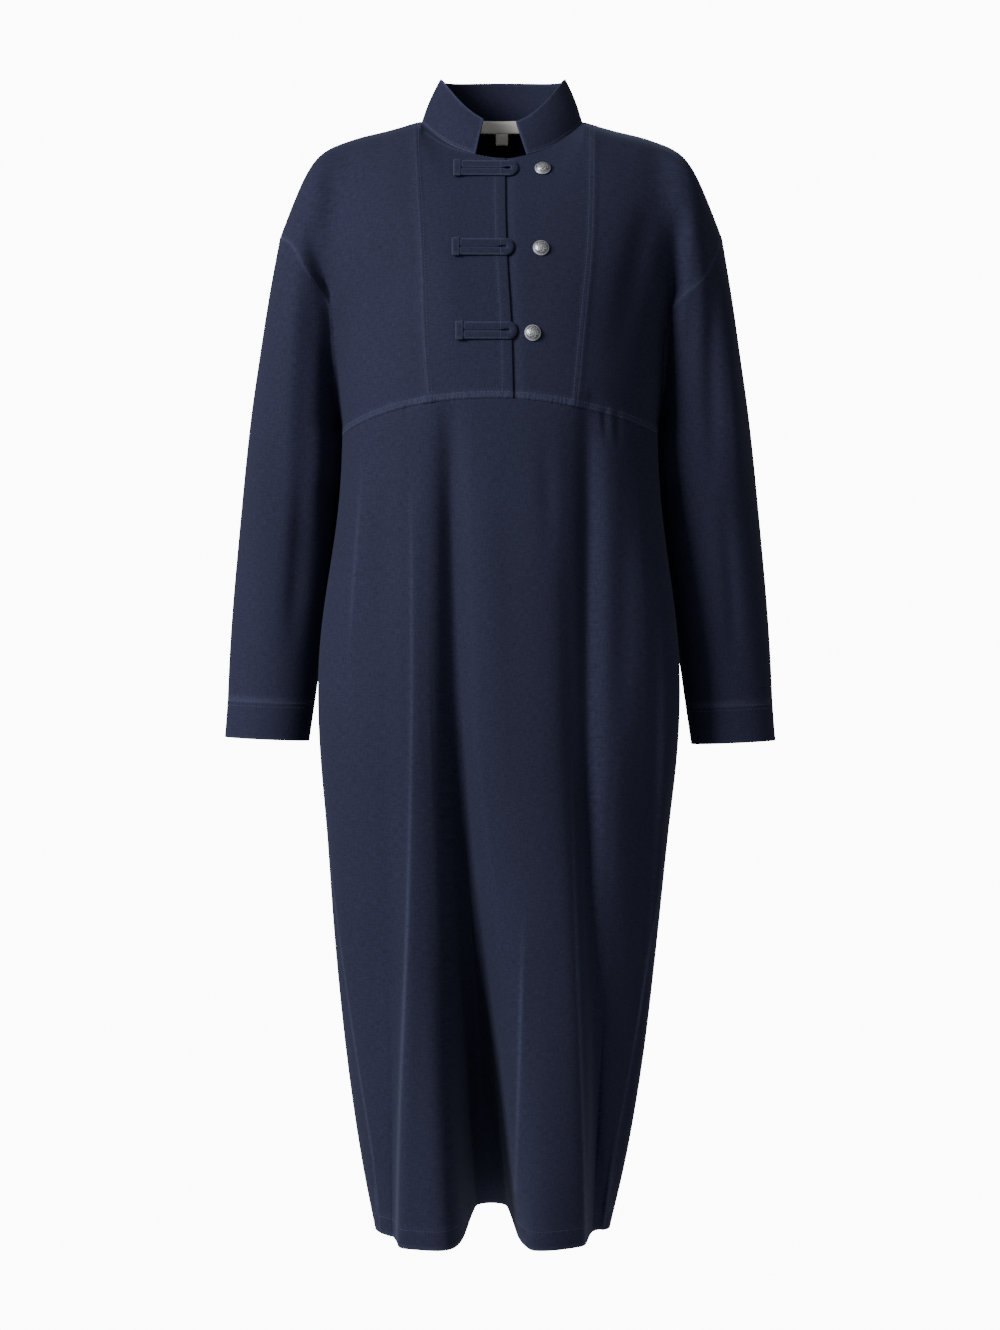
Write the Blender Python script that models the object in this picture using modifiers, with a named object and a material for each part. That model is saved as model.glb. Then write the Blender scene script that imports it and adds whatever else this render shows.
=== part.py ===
"""A long dress with a stand collar, filled out as if worn, with nobody in it.

The dress faces -Y, with +X to the viewer's right and +Z up. The origin lies midway between
the two points where the collar meets the shoulder seams. Sizes are in millimetres and are
turned to metres where a mesh is made. A "drop" is a distance below the origin.
"""
import math
from collections import namedtuple

import bmesh
import bpy
import numpy as np
from mathutils import Vector

MM = 0.001

# Cloth and seams
CLOTH = 1.6                 # wall of the twill
BAND_CLOTH = 2.4            # wall of the collar and the cuffs, where two layers are fused
SEAM_GAP = 0.3              # left between pieces that are sewn together
LEFT, RIGHT = -1, 1         # the viewer's left and right
FULLNESS = 2.3              # power of the body's rounded sections, where 2 is an ellipse

# Body, a row for each level: the section's centre, half width, depth in front and behind,
# how far its widest point lies forward, and how far out the side seam lies
Section = namedtuple("Section", "drop centre half_width front back forward seam")
BODY = (
    Section(0, 0, 216, 132, 118, 0, 216),
    Section(60, 0, 214, 132, 118, 0, 214),
    Section(130, 0, 193, 132, 118, 0, 193),
    Section(215, 0, 168, 132, 118, 0, 168),
    Section(270, 0, 164, 132, 118, 0, 164),
    Section(323, 0, 160.5, 131, 118, 0, 160.5),
    Section(355, 0, 161, 130, 118, 6, 161),
    Section(406, 0, 165, 129, 118, 14, 165),
    Section(467, -0.5, 173, 128, 119, 20, 173),
    Section(538, -1, 181.5, 127, 120, 25, 181.5),
    Section(610, -1, 182.5, 125, 121, 26, 182.5),
    Section(702, -2, 174.5, 120, 122, 22, 173.5),
    Section(824, -4, 164, 112, 124, 16, 157),
    Section(947, -5, 151, 103, 125, 10, 138),
    Section(1069, -6.5, 132, 90, 125, 4, 118),
    Section(1126, -7.5, 120, 80, 125, 0, 113),
)
HEM_DROP = BODY[-1].drop
YOKE_DROP = 295.5           # the under-bust seam at the centre
YOKE_SAG = 28               # and how much lower it ends at the sides
YOKE_SIDE = 160.5
YOKE_POWER = {LEFT: 2.4, RIGHT: 1.7}
ROLL = 290                  # drop in which the chest reaches its full depth
EVEN_OUT, EVEN_OUT_DROP = 34, 90    # the neckline's form dies away over this width and drop
ARM_ROLL = 70               # drop in which the top of the arm does
UNION = 4                   # how softly chest and arm run together

# Shoulder line, from the collar out to the top of the armhole seam
Shoulder = namedtuple("Shoulder", "out drop")
SHOULDER = (
    Shoulder(82.5, 0), Shoulder(110, 8), Shoulder(155, 20), Shoulder(180, 32),
    Shoulder(193, 45), Shoulder(201, 59), Shoulder(209, 79), Shoulder(218, 102),
    Shoulder(225, 120), Shoulder(240, 160),
)
SHOULDER_TIP = 0.5          # how much the cloth at its end faces up

# Neckline and the stand collar's top edge
NECK_CENTRE = 2
NECK_HALF = 82.5
NECK_FRONT, NECK_BACK = 66, 60
NECK_FRONT_DROP, NECK_BACK_RISE = 50, 10
NECK_FRONT_POWER, NECK_BACK_POWER = 1.6, 1.5    # how late the neckline dips and rises
TOP_CENTRE = 3
TOP_HALF = 64
TOP_FRONT, TOP_BACK = 54, 50
TOP_RISE, TOP_BACK_RISE, TOP_FRONT_DROP = 43, 7.5, 56
COLLAR_ENDS = {LEFT: (19.0, 17.7), RIGHT: (17.9, 11.7)}    # degrees at the foot and the top
COLLAR_BULGE = 1.5

# Armhole seam in front, from the shoulder down to the underarm
Armhole = namedtuple("Armhole", "out drop depth")
CREASE = (
    Armhole(168.5, 230, 40), Armhole(166.8, 270, 26),
    Armhole(164.6, 300, 12), Armhole(163.3, 313, 0),
)
ARMHOLE = {
    LEFT: (
        Armhole(225, 120, 0), Armhole(219, 123, 24), Armhole(208, 133, 46),
        Armhole(196, 156, 57), Armhole(182, 177, 57), Armhole(171, 195, 52),
    ) + CREASE,
    RIGHT: (
        Armhole(227, 120, 0), Armhole(222.5, 130, 24), Armhole(213, 151, 46),
        Armhole(202, 168, 57), Armhole(187, 182, 58), Armhole(173, 197, 52),
    ) + CREASE,
}
CREASE_SLOPE = 1.3          # how steeply the body rises out of the crease
CREASE_REACH = 14           # and how far from the seam it does so
CREASE_START = 5            # row of the table where the seam goes into the crease
STEPS_ABOVE, STEPS_BELOW = 9, 5
SEAM_STEPS = STEPS_ABOVE + STEPS_BELOW

# Sleeves and cuffs
Sleeve = namedtuple("Sleeve", "drop centre half_width half_depth back_shift")
SLEEVE = (
    Sleeve(60, 188, 26, 58, 0),
    Sleeve(120, 193, 32.5, 60, 0),
    Sleeve(197, 202, 37, 62, 4),
    Sleeve(243, 206, 40, 62, 8),
    Sleeve(304, 210.2, 45.2, 62, 14),
    Sleeve(330, 212, 46.6, 62, 17),
    Sleeve(355, 212.2, 49.4, 61, 20),
    Sleeve(406, 216, 50.8, 58, 24),
    Sleeve(467, 222.9, 49.8, 54, 25),
    Sleeve(538, 230.3, 47.5, 47, 23),
    Sleeve(592, 234.9, 44.9, 41, 18),
    Sleeve(640, 240, 43.2, 38, 15),
)
CUFF_TOP = {LEFT: 590.5, RIGHT: 594}
CUFF_HEIGHT = 39
CUFF_TILT = 2               # the outer side of the cuff is this much higher
SETTLE = 0.4                # share of the sleeve in which the seam's form dies away
TURN_RATE = 1.4             # the columns are evenly spread after 1/1.4 of the sleeve

# Front seams, how far out they lie at each drop
Front_seam = namedtuple("Front_seam", "drop left right")
FRONT_SEAM = (
    Front_seam(0, 87, 94), Front_seam(65, 83, 92), Front_seam(141, 78, 89),
    Front_seam(222, 75, 81), Front_seam(305, 69, 73),
)
NECK_SIDE = {LEFT: 80.5, RIGHT: 84.5}

# The slit between the centre fronts; the viewer's left one lies on top
Slit = namedtuple("Slit", "drop out")
SLIT = (Slit(40, 5), Slit(110, 5.2), Slit(160, 6.9), Slit(220, 10.5), Slit(300, 12.6))
UNDERLAP = 22
RECESS = CLOTH + 0.8
RECESS_FADE = 12

# Long folds of the skirt front, their places and sizes at four levels
FOLD_DROPS = (330, 610, 855, HEM_DROP)
Fold = namedtuple("Fold", "out half_width depth square")
VALLEYS = (
    Fold((-49, -46, -28, -9), (14, 15, 20, 23.5), (6, 27, 70, 190), (1, 1, 1.4, 3)),
    Fold((78, 79, 89, 95), (12, 13, 13, 12), (6, 18, 17, 8), (1, 1, 1, 1)),
)
LOBES = {
    LEFT: Fold((-100, -100, -98, -102), (14, 12, 8, 4.5), (0, 4, 14, 40), None),
    RIGHT: Fold((98, 98, 94, 88), (14, 12, 8, 4.5), (0, 3, 12, 40), None),
}
FOLD_FADE = 45              # the folds grow out of the seam in this drop
FOLD_EDGE = 5               # and they end this far from the side seams
HEM_LIFT = 8.5              # the hem is drawn up this much in the deepest fold

# Gathers below the under-bust seam
GATHER_FIRST, GATHER_SPACING, GATHERS = 103, 12.5, 3
GATHER_DEPTH, GATHER_LENGTH, GATHER_LEAD = 1.6, 42, 6

# Soft waves in the back of the skirt
BACK_WAVES, BACK_WAVE_DEPTH = 3, 7
BACK_WAVE_START, BACK_WAVE_GROWTH = 420, 500

# Rows and columns of the panels. The spreads say how much closer the first rows lie.
BODICE_ROWS = SEAM_STEPS + 1
SKIRT_ROWS = 14
CENTRE_COLUMNS, SIDE_COLUMNS = 7, 8
SHOULDER_COLUMNS, BACK_NECK_COLUMNS = SIDE_COLUMNS + 1, 12
SLEEVE_ROWS = 10
BODICE_SPREAD, SLEEVE_SPREAD, SKIRT_SPREAD = 1.2, 1.15, 0.045
COLUMN_SPREAD = 0.9         # and how much closer the columns lie at the underarm
RING_SAMPLES = 240
FRONT_SEAM_SHARE, BACK_SEAM_SHARE = 0.6, 0.72   # the armhole seam's form starts here
VALLEY_WALL, VALLEY_FLOOR = 1.6, 0.72           # stations on a valley's walls, in half widths
LOBE_TURN = 1.1                                 # and where a lobe turns in
COLLAR_COLUMNS, COLLAR_ROWS = 34, 3

# Loops, buttons and label
Loop = namedtuple("Loop", "left tip drop")
LOOPS = (Loop(-46.2, 17.9, 61.5), Loop(-47, 13.7, 145.6), Loop(-43.2, 16.8, 229.5))
LOOP_WIDTH = 17.5
LOOP_BAND, LOOP_BAND_LIFT = 7.5, 0.8
LOOP_LIFT = 0.4
LOOP_STEPS = 8
LOOP_TIP_ANGLES = (22, 44, 64, 82)
# share of the half width, and height there
LOOP_PROFILE = ((-1, 1.3), (-0.86, 2.4), (-0.5, 2.9), (-0.13, 2.3), (0, 1.3),
                (0.13, 2.3), (0.5, 2.9), (0.86, 2.4), (1, 1.3))
Button = namedtuple("Button", "out drop")
BUTTONS = (Button(42.2, 62.8), Button(39.9, 147.2), Button(31.5, 232))
BUTTON_RADIUS, BUTTON_RIM, DOME_HEIGHT, DOME_FLAT = 8, 1.3, 4.5, 0.2
BUTTON_BEVEL = (0.6, 0.9)   # in and up
SHANK_RADIUS, SHANK_HEIGHT = 2.4, 2.4
BUTTON_SIDES = 16
DOME_ANGLES = (25, 48, 68, 84)
LABEL_WIDTH, LABEL_TOP, LABEL_BOTTOM, LABEL_WALL = 46, 12, -1, 0.7
LABEL_CLEAR = 2.4           # the collar leans in by nearly this much at the label's top
TAB_WIDTH, TAB_BOTTOM = 12.5, -13
LABEL_COLUMNS, TAB_COLUMNS = 8, 2

# Colours, linear
NAVY = (0.022, 0.027, 0.050, 1)
NAVY_STRAP = (0.020, 0.025, 0.046, 1)
PEWTER = (0.09, 0.09, 0.085, 1)
CREAM = (0.72, 0.68, 0.56, 1)


def through(table, column, at):
    """The value on the smooth curve through one column of a table, by its drop or its out."""
    keys = np.array([row[0] for row in table], float)
    values = np.array([getattr(row, column) for row in table], float)
    return smooth_curve(keys, values, at)


def smooth_curve(keys, values, at):
    """Cubic curve through the values, with slopes taken from the neighbours."""
    keys, values = np.asarray(keys, float), np.asarray(values, float)
    slopes = np.gradient(values, keys)
    at = np.clip(at, keys[0], keys[-1])
    i = np.clip(np.searchsorted(keys, at, side="right") - 1, 0, len(keys) - 2)
    span = keys[i + 1] - keys[i]
    t = (at - keys[i]) / span
    return ((1 + 2 * t) * (1 - t) ** 2 * values[i] + t * (1 - t) ** 2 * span * slopes[i]
            + t * t * (3 - 2 * t) * values[i + 1] - t * t * (1 - t) * span * slopes[i + 1])


def ease(t):
    """0 to 1 with soft ends."""
    t = np.clip(t, 0, 1)
    return t * t * (3 - 2 * t)


def quarter_round(t):
    """A quarter of a circle: steep at 0, level at 1 and past it."""
    t = np.clip(t, 0, 1)
    return np.sqrt(1 - (1 - t) ** 2)


def rounded(share):
    """Height of a rounded section at a share of its half width."""
    return (1 - np.clip(np.abs(share), 0, 1) ** FULLNESS) ** (1 / FULLNESS)


def neck_point(angle):
    """The neckline at an angle in radians from the front centre, towards the viewer's right."""
    c = math.cos(angle)
    x = NECK_CENTRE + NECK_HALF * math.sin(angle)
    if c >= 0:
        return np.array((x, -NECK_FRONT * c, -NECK_FRONT_DROP * c ** NECK_FRONT_POWER))
    return np.array((x, -NECK_BACK * c, NECK_BACK_RISE * (-c) ** NECK_BACK_POWER))


def collar_top_point(angle):
    """The collar's top edge at the same kind of angle."""
    c = math.cos(angle)
    x = TOP_CENTRE + TOP_HALF * math.sin(angle)
    if c >= 0:
        return np.array((x, -TOP_FRONT * c, TOP_RISE - TOP_FRONT_DROP * c * c))
    return np.array((x, -TOP_BACK * c, TOP_RISE + TOP_BACK_RISE * c * c))


def panel_top(x, front):
    """Drop at which the body starts to round out, at one place across."""
    share = (x - NECK_CENTRE) / NECK_HALF
    if abs(share) >= 1:
        out = abs(x) if x < 0 else abs(x) - NECK_CENTRE
        return float(through(SHOULDER, "drop", out))
    angle = math.asin(share)
    neck = neck_point(angle if front else math.pi - angle)
    full = BODY[0].front if front else BODY[0].back
    return -neck[2] - ROLL * (1 - math.sqrt(1 - (neck[1] / full) ** 2))


def even_top(x, drop, front):
    """The same drop, evened out across below the neck, where the cloth hangs free of it."""
    top = panel_top(x, front)
    spread = EVEN_OUT * ease((drop - top) / EVEN_OUT_DROP)
    if spread < 1:
        return top
    return sum(panel_top(x + spread * step, front) for step in (-1, -0.5, 0, 0.5, 1)) / 5


def top_edge_drop(x, front):
    """Drop of a panel's top edge: the neckline, then the shoulder line."""
    share = (x - NECK_CENTRE) / NECK_HALF
    if abs(share) < 1:
        angle = math.asin(share)
        return -neck_point(angle if front else math.pi - angle)[2]
    return panel_top(x, front)


def body_y(x, drop, front=True):
    """Where the cloth of the body lies, in front or behind."""
    centre = through(BODY, "centre", drop)
    half = through(BODY, "half_width", drop)
    forward = through(BODY, "forward", drop)
    full = through(BODY, "front" if front else "back", drop)
    below = drop - even_top(x, drop, front) if drop < ROLL + EVEN_OUT_DROP else ROLL
    half_depth = full - forward if front else full + forward
    chest = half_depth * rounded((x - centre) / half) * quarter_round(below / ROLL)
    arm = 0.0
    if drop < CREASE[-1].drop:
        row = [through(SLEEVE, name, drop) for name in Sleeve._fields[1:]]
        across = np.clip((abs(x) - row[0]) / row[1], -1, 1)
        arm_depth = row[2] - row[3] if front else row[2] + row[3]
        arm = arm_depth * math.sqrt(1 - across ** 2) * quarter_round(below / ARM_ROLL)
    depth = (chest ** UNION + arm ** UNION) ** (1 / UNION)
    return -forward - depth if front else -forward + depth


def yoke_drop(x):
    """The under-bust seam, nearly level in the middle and lower at the sides."""
    side = RIGHT if x > 0 else LEFT
    return YOKE_DROP + YOKE_SAG * (min(abs(x), YOKE_SIDE) / YOKE_SIDE) ** YOKE_POWER[side]


def valley_share(fold, x, drop):
    """0 outside a valley and 1 at its bottom, with walls that steepen where it is square."""
    out, half, square = (smooth_curve(FOLD_DROPS, values, drop)
                         for values in (fold.out, fold.half_width, fold.square))
    return 1 / (1 + np.abs((x - out) / half) ** (2 * square))


def fold_y(x, drop):
    """How far the skirt front is moved back by its folds, gathers and lobes."""
    below = drop - yoke_drop(x)
    grown = ease(below / FOLD_FADE)
    moved = 0.0
    for fold in VALLEYS:
        depth = smooth_curve(FOLD_DROPS, fold.depth, drop)
        moved += grown * depth * valley_share(fold, x, drop)
    inside = 1.0
    for side, fold in LOBES.items():
        out, half = (smooth_curve(FOLD_DROPS, values, drop)
                     for values in (fold.out, fold.half_width))
        inside *= ease(0.5 - side * (x - out) / (2 * half))
    side = RIGHT if x > 0 else LEFT
    moved -= grown * smooth_curve(FOLD_DROPS, LOBES[side].depth, drop) * inside
    moved *= ease(side * (side_seam_x(side, drop) - x) / FOLD_EDGE)
    along = (abs(x) - GATHER_FIRST) / GATHER_SPACING
    if 0 < along < GATHERS and 0 < below < GATHER_LENGTH:
        fade = math.sin(math.pi * min(1, (below + GATHER_LEAD) / GATHER_LENGTH))
        moved += GATHER_DEPTH * fade * math.sin(math.pi * along) ** 2
    return moved


def skirt_point(x, drop):
    """A point on the skirt front."""
    return np.array((x, body_y(x, drop) + fold_y(x, drop), -drop))


def armhole_points(side, front=True):
    """The armhole seam, in even steps above the crease and along it."""
    table = ARMHOLE[side]
    places = np.concatenate((np.linspace(0, CREASE_START, STEPS_ABOVE + 1),
                             np.linspace(CREASE_START, len(table) - 1, STEPS_BELOW + 1)[1:]))
    index = np.arange(len(table))
    out, drop, depth = (smooth_curve(index, [getattr(row, name) for row in table], places)
                        for name in Armhole._fields)
    return np.stack((side * out, -depth if front else depth, -drop), axis=1)


def front_seam(side, drop):
    """How far across the long front seam lies."""
    return side * float(through(FRONT_SEAM, "left" if side == LEFT else "right", drop))


def shoulder_places(side):
    """Places across of the columns along the shoulder seam, from the neck to the armhole."""
    first, last = front_seam(side, 0), armhole_points(side)[0][0]
    return [side * NECK_SIDE[side]] + list(np.linspace(first, last, SIDE_COLUMNS + 1))


def side_front_grid(side):
    """Side front, rows from the shoulder to the under-bust seam, columns from the front seam
    out to the armhole."""
    seam = armhole_points(side)
    rows = []
    for k in range(BODICE_ROWS + 1):
        down = (k / BODICE_ROWS) ** BODICE_SPREAD
        start_x = front_seam(side, YOKE_DROP * down)
        start_top = top_edge_drop(start_x, True)
        start_drop = start_top + (yoke_drop(start_x) - start_top) * down
        if k < BODICE_ROWS:
            end = seam[k]
        else:
            end = np.array((side * YOKE_SIDE, 0, -yoke_drop(YOKE_SIDE)))
        first, last = front_seam(side, 0), front_seam(side, YOKE_DROP)
        row = []
        for c in range(SIDE_COLUMNS + 1):
            share = 1 - (1 - c / SIDE_COLUMNS) ** (1 + COLUMN_SPREAD * down)
            x = start_x + (end[0] - start_x) * share
            drop = start_drop + (-end[2] - start_drop) * share
            top_x = first + (seam[0][0] - first) * share
            top_line = panel_top(first, True) * (1 - share) - seam[0][2] * share
            low_x = last + (side * YOKE_SIDE - last) * share
            low_line = yoke_drop(last) * (1 - share) + yoke_drop(YOKE_SIDE) * share
            drop += (1 - down) ** 1.5 * (panel_top(top_x, True) - top_line)
            drop += down * (yoke_drop(low_x) - low_line)
            drop = max(drop, panel_top(x, True))
            row.append(np.array((x, body_y(x, drop), -drop)))
        row[-1] = end
        miss = end - np.array((end[0], body_y(end[0], -end[2]), end[2]))
        for c in range(SIDE_COLUMNS):
            row[c] = row[c] + miss * near_seam(c / SIDE_COLUMNS, FRONT_SEAM_SHARE)
            row[c][1] = clear_of_crease(k, row[c], end)
        rows.append(row)
    return np.array(rows)


def near_seam(share, start):
    """0 up to a share of the way across, then rising to 1 at the seam."""
    return max(0, (share - start) / (1 - start)) ** 2


def clear_of_crease(k, point, end, facing=-1):
    """Depth of a point near the seam: from the level where the seam enters the crease, the
    cloth rises steadily out of it."""
    if abs(point[0] - end[0]) > CREASE_REACH:
        return point[1]
    entered = min(1, max(0, (k - STEPS_ABOVE + 1) / 3))
    risen = facing * end[1] + CREASE_SLOPE * abs(point[0] - end[0])
    depth = facing * point[1]
    return facing * (depth + entered * (max(depth, risen) - depth))


def slit_x(drop):
    """The slit's edge."""
    return float(through(SLIT, "out", drop))


def round_the_neck(start, end, columns):
    """Places across, from one to another, closer together where the neckline turns up."""
    first = math.asin(abs(start - NECK_CENTRE) / NECK_HALF)
    angles = np.linspace(first, math.pi / 2, columns + 1)
    shares = (np.sin(angles) - math.sin(first)) / (1 - math.sin(first))
    return list(start + (end - start) * shares)


def centre_front_grid(side):
    """Centre front, rows from the neckline to the under-bust seam, columns from the slit out
    to the front seam. The viewer's right one runs on behind the left one."""
    rows = []
    for k in range(BODICE_ROWS + 1):
        down = (k / BODICE_ROWS) ** BODICE_SPREAD
        end_x = front_seam(side, YOKE_DROP * down)
        neck_x = NECK_SIDE[side] * side + (end_x - front_seam(side, 0)) * min(1, down * 2)
        guess = NECK_FRONT_DROP + (YOKE_DROP - NECK_FRONT_DROP) * down
        edge = slit_x(guess)
        if side == LEFT:
            places = round_the_neck(edge, neck_x, CENTRE_COLUMNS)
        else:
            places = [edge - UNDERLAP, edge - UNDERLAP / 2, edge, edge + RECESS_FADE / 2]
            places += round_the_neck(edge + RECESS_FADE, neck_x, CENTRE_COLUMNS - 1)
        places.append(end_x)
        row = []
        for x in places:
            start = top_edge_drop(x, True)
            drop = start + (yoke_drop(x) - start) * down
            y = body_y(x, drop)
            if side == RIGHT:
                y += RECESS * (1 - ease((x - edge) / RECESS_FADE))
            row.append(np.array((x, y, -drop)))
        rows.append(row)
    return np.array(rows)


def side_seam_x(side, drop):
    """The side seam swings to the front near the hem."""
    return float(through(BODY, "centre", drop) + side * through(BODY, "seam", drop))


def even_along(points, count):
    """Indices' positions spread evenly along a run of points."""
    steps = np.linalg.norm(np.diff(points, axis=0), axis=1)
    length = np.concatenate(((0,), np.cumsum(steps)))
    return np.interp(np.linspace(0, length[-1], count + 1), length, np.arange(len(points)))


def skirt_stations(drop):
    """Places across the skirt front that its columns follow, with the columns up to each."""
    left, right = side_seam_x(LEFT, drop), side_seam_x(RIGHT, drop)
    lobe_l, lobe_r = (smooth_curve(FOLD_DROPS, LOBES[s].out, drop) for s in (LEFT, RIGHT))
    half = smooth_curve(FOLD_DROPS, LOBES[LEFT].half_width, drop) * LOBE_TURN
    valley = VALLEYS[0]
    middle = smooth_curve(FOLD_DROPS, valley.out, drop)
    fold = smooth_curve(FOLD_DROPS, valley.half_width, drop)
    wide, low = fold * VALLEY_WALL, fold * VALLEY_FLOOR
    left_turn, right_turn = lobe_l - half, lobe_r + half
    return ((left, 0), ((left + left_turn) / 2, 4), (left_turn, 6), (lobe_l + half, 3),
            (middle - wide, 3), (middle - low, 5), (middle + low, 4), (middle + wide, 5),
            (lobe_r - half, 7), (right_turn, 3), ((right + right_turn) / 2, 6), (right, 4))


def skirt_grid():
    """Skirt front, rows from the under-bust seam to the hem, columns from side to side."""
    samples = 40
    side_top = yoke_drop(YOKE_SIDE)
    rows = []
    for r in range(SKIRT_ROWS + 1):
        down = skirt_down(r)
        level = side_top + (HEM_DROP - side_top) * down
        stations = skirt_stations(level)
        row = []
        for (start, _), (end, columns) in zip(stations[:-1], stations[1:]):
            fine = []
            for s in np.linspace(0, 1, samples + 1):
                x = start + (end - start) * s
                fine.append(skirt_row_point(x, down))
            fine = np.array(fine)
            places = even_along(fine, columns)
            for p in places[:-1]:
                i = int(p)
                row.append(fine[i] + (fine[min(i + 1, samples)] - fine[i]) * (p - i))
        row.append(fine[-1])
        rows.append(row)
    return np.array(rows)


def skirt_down(r):
    """Share of the way down the skirt at one row: closer rows under the seam and at the hem."""
    t = r / SKIRT_ROWS
    return t - SKIRT_SPREAD * math.sin(2 * math.pi * t)


def skirt_row_point(x, down):
    """Skirt front at one place across, a share of the way from the seam to the hem."""
    start = yoke_drop(x)
    hem = HEM_DROP - HEM_LIFT * valley_share(VALLEYS[0], x, HEM_DROP)
    point = skirt_point(x, start + (HEM_DROP - start) * down)
    point[2] = -(start + (hem - start) * down)
    return point


def back_ring(drop, shares):
    """Points round the back at one level, from the left side seam to the right one."""
    centre, half, forward, front, back = (
        float(through(BODY, name, drop))
        for name in ("centre", "half_width", "forward", "front", "back"))
    seam = min(1.0, float(through(BODY, "seam", drop)) / half)
    start = math.asin(min(1, seam ** (FULLNESS / 2)))
    fine = []
    wave = ease((drop - BACK_WAVE_START) / BACK_WAVE_GROWTH) * BACK_WAVE_DEPTH
    for s in np.linspace(0, 1, RING_SAMPLES + 1):
        angle = -start - (2 * math.pi - 2 * start) * s
        sine, cosine = math.sin(angle), math.cos(angle)
        x = centre + half * math.copysign(abs(sine) ** (2 / FULLNESS), sine)
        if cosine > 0:
            y = -forward - (front - forward) * cosine ** (2 / FULLNESS)
        else:
            y = -forward + (back + forward) * (-cosine) ** (2 / FULLNESS)
            y -= wave * math.sin(math.pi * BACK_WAVES * (s - 0.5)) ** 2 * (-cosine) ** 0.7
        fine.append((x, y, -drop))
    fine = np.array(fine)
    steps = np.linalg.norm(np.diff(fine, axis=0), axis=1)
    length = np.concatenate(((0,), np.cumsum(steps)))
    return np.stack([np.interp(np.asarray(shares) * length[-1], length, fine[:, i])
                     for i in range(3)], axis=1)


def back_grid():
    """Back, rows from the neck and shoulders to the hem, columns from left to right."""
    seams = {side: armhole_points(side, front=False) for side in (LEFT, RIGHT)}
    columns = 2 * SHOULDER_COLUMNS + BACK_NECK_COLUMNS
    shares = np.linspace(0, 1, columns + 1)
    side_top = yoke_drop(YOKE_SIDE)
    waist = back_ring(side_top, shares)
    angles = math.pi * (np.arange(1, BACK_NECK_COLUMNS) / BACK_NECK_COLUMNS - 0.5)
    top_x = (shoulder_places(LEFT)[::-1] + list(NECK_CENTRE + NECK_HALF * np.sin(angles))
             + shoulder_places(RIGHT))
    rows = []
    for k in range(BODICE_ROWS + 1):
        down = (k / BODICE_ROWS) ** BODICE_SPREAD
        row = []
        for c in range(columns + 1):
            x = top_x[c] + (waist[c][0] - top_x[c]) * down
            side = LEFT if c < columns / 2 else RIGHT
            seam = seams[side]
            end_index = 0 if side == LEFT else -1
            end = seam[k] if k < BODICE_ROWS else waist[end_index]
            old_end = top_x[end_index] + (waist[end_index][0] - top_x[end_index]) * down
            middle = NECK_CENTRE * (1 - down)
            x = middle + (x - middle) * (end[0] - middle) / (old_end - middle)
            out = abs(x - middle) / abs(end[0] - middle)
            top = top_edge_drop(top_x[c], False)
            level = top + (side_top - top) * down
            straight = top_edge_drop(top_x[end_index], False)
            straight += (side_top - straight) * down
            drop = level + (-end[2] - straight) * out ** 2
            drop = max(drop, panel_top(x, False))
            y = body_y(x, drop, front=False)
            miss = end[1] - body_y(end[0], -end[2], front=False)
            y += miss * near_seam(out, BACK_SEAM_SHARE)
            point = np.array((x, y, -drop))
            if k < BODICE_ROWS:
                point[1] = clear_of_crease(k, point, end, 1)
            row.append(point)
        row[0] = seams[LEFT][k] if k < BODICE_ROWS else waist[0]
        row[-1] = seams[RIGHT][k] if k < BODICE_ROWS else waist[-1]
        rows.append(row)
    for r in range(1, SKIRT_ROWS + 1):
        drop = side_top + (HEM_DROP - side_top) * skirt_down(r)
        rows.append(list(back_ring(drop, shares)))
    return np.array(rows)


def sleeve_point(side, angle, drop):
    """On the sleeve, at an angle from its outer side round the front."""
    centre, half, deep, shift = (float(through(SLEEVE, name, drop))
                                 for name in Sleeve._fields[1:])
    return np.array((side * (centre + half * math.cos(angle)),
                     shift - deep * math.sin(angle), -drop))


def cuff_line(side, angle):
    """Drop of the seam between sleeve and cuff."""
    return CUFF_TOP[side] - CUFF_TILT * math.cos(angle)


def sleeve_grid(side):
    """Sleeve, rows from the armhole seam to the cuff, columns round from the outer side."""
    front, back = armhole_points(side), armhole_points(side, front=False)
    ring = list(front) + [back[k] for k in range(SEAM_STEPS - 1, 0, -1)]
    count = len(ring)
    columns = []
    for c, seam in enumerate(ring):
        even = 2 * math.pi * c / count
        drop = -seam[2]
        centre, half = (float(through(SLEEVE, name, drop)) for name in ("centre", "half_width"))
        start = math.acos(max(-1, min(1, (abs(seam[0]) - centre) / half)))
        if c > SEAM_STEPS:
            start = 2 * math.pi - start
        miss = seam - sleeve_point(side, start, drop)
        column = []
        for r in range(SLEEVE_ROWS + 1):
            t = (r / SLEEVE_ROWS) ** SLEEVE_SPREAD
            angle = start + (even - start) * ease(t * TURN_RATE)
            at = drop + (cuff_line(side, even) - drop) * t
            left_over = max(0, 1 - t / SETTLE) ** 2
            column.append(sleeve_point(side, angle, at) + miss * left_over)
        columns.append(column)
    return np.array(columns).transpose(1, 0, 2)


def cuff_grid(side):
    """Cuff, a short tube below the sleeve."""
    count = 2 * SEAM_STEPS
    rows = []
    for t in (0, 0.5, 1):
        row = []
        for c in range(count):
            angle = 2 * math.pi * c / count
            row.append(sleeve_point(side, angle, cuff_line(side, angle) + CUFF_HEIGHT * t))
        rows.append(row)
    return np.array(rows)


def shoulder_columns(side):
    """The back's columns along one shoulder, from the armhole in to the neck."""
    columns = np.arange(SHOULDER_COLUMNS + 1)
    return columns if side == LEFT else -1 - columns


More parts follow.
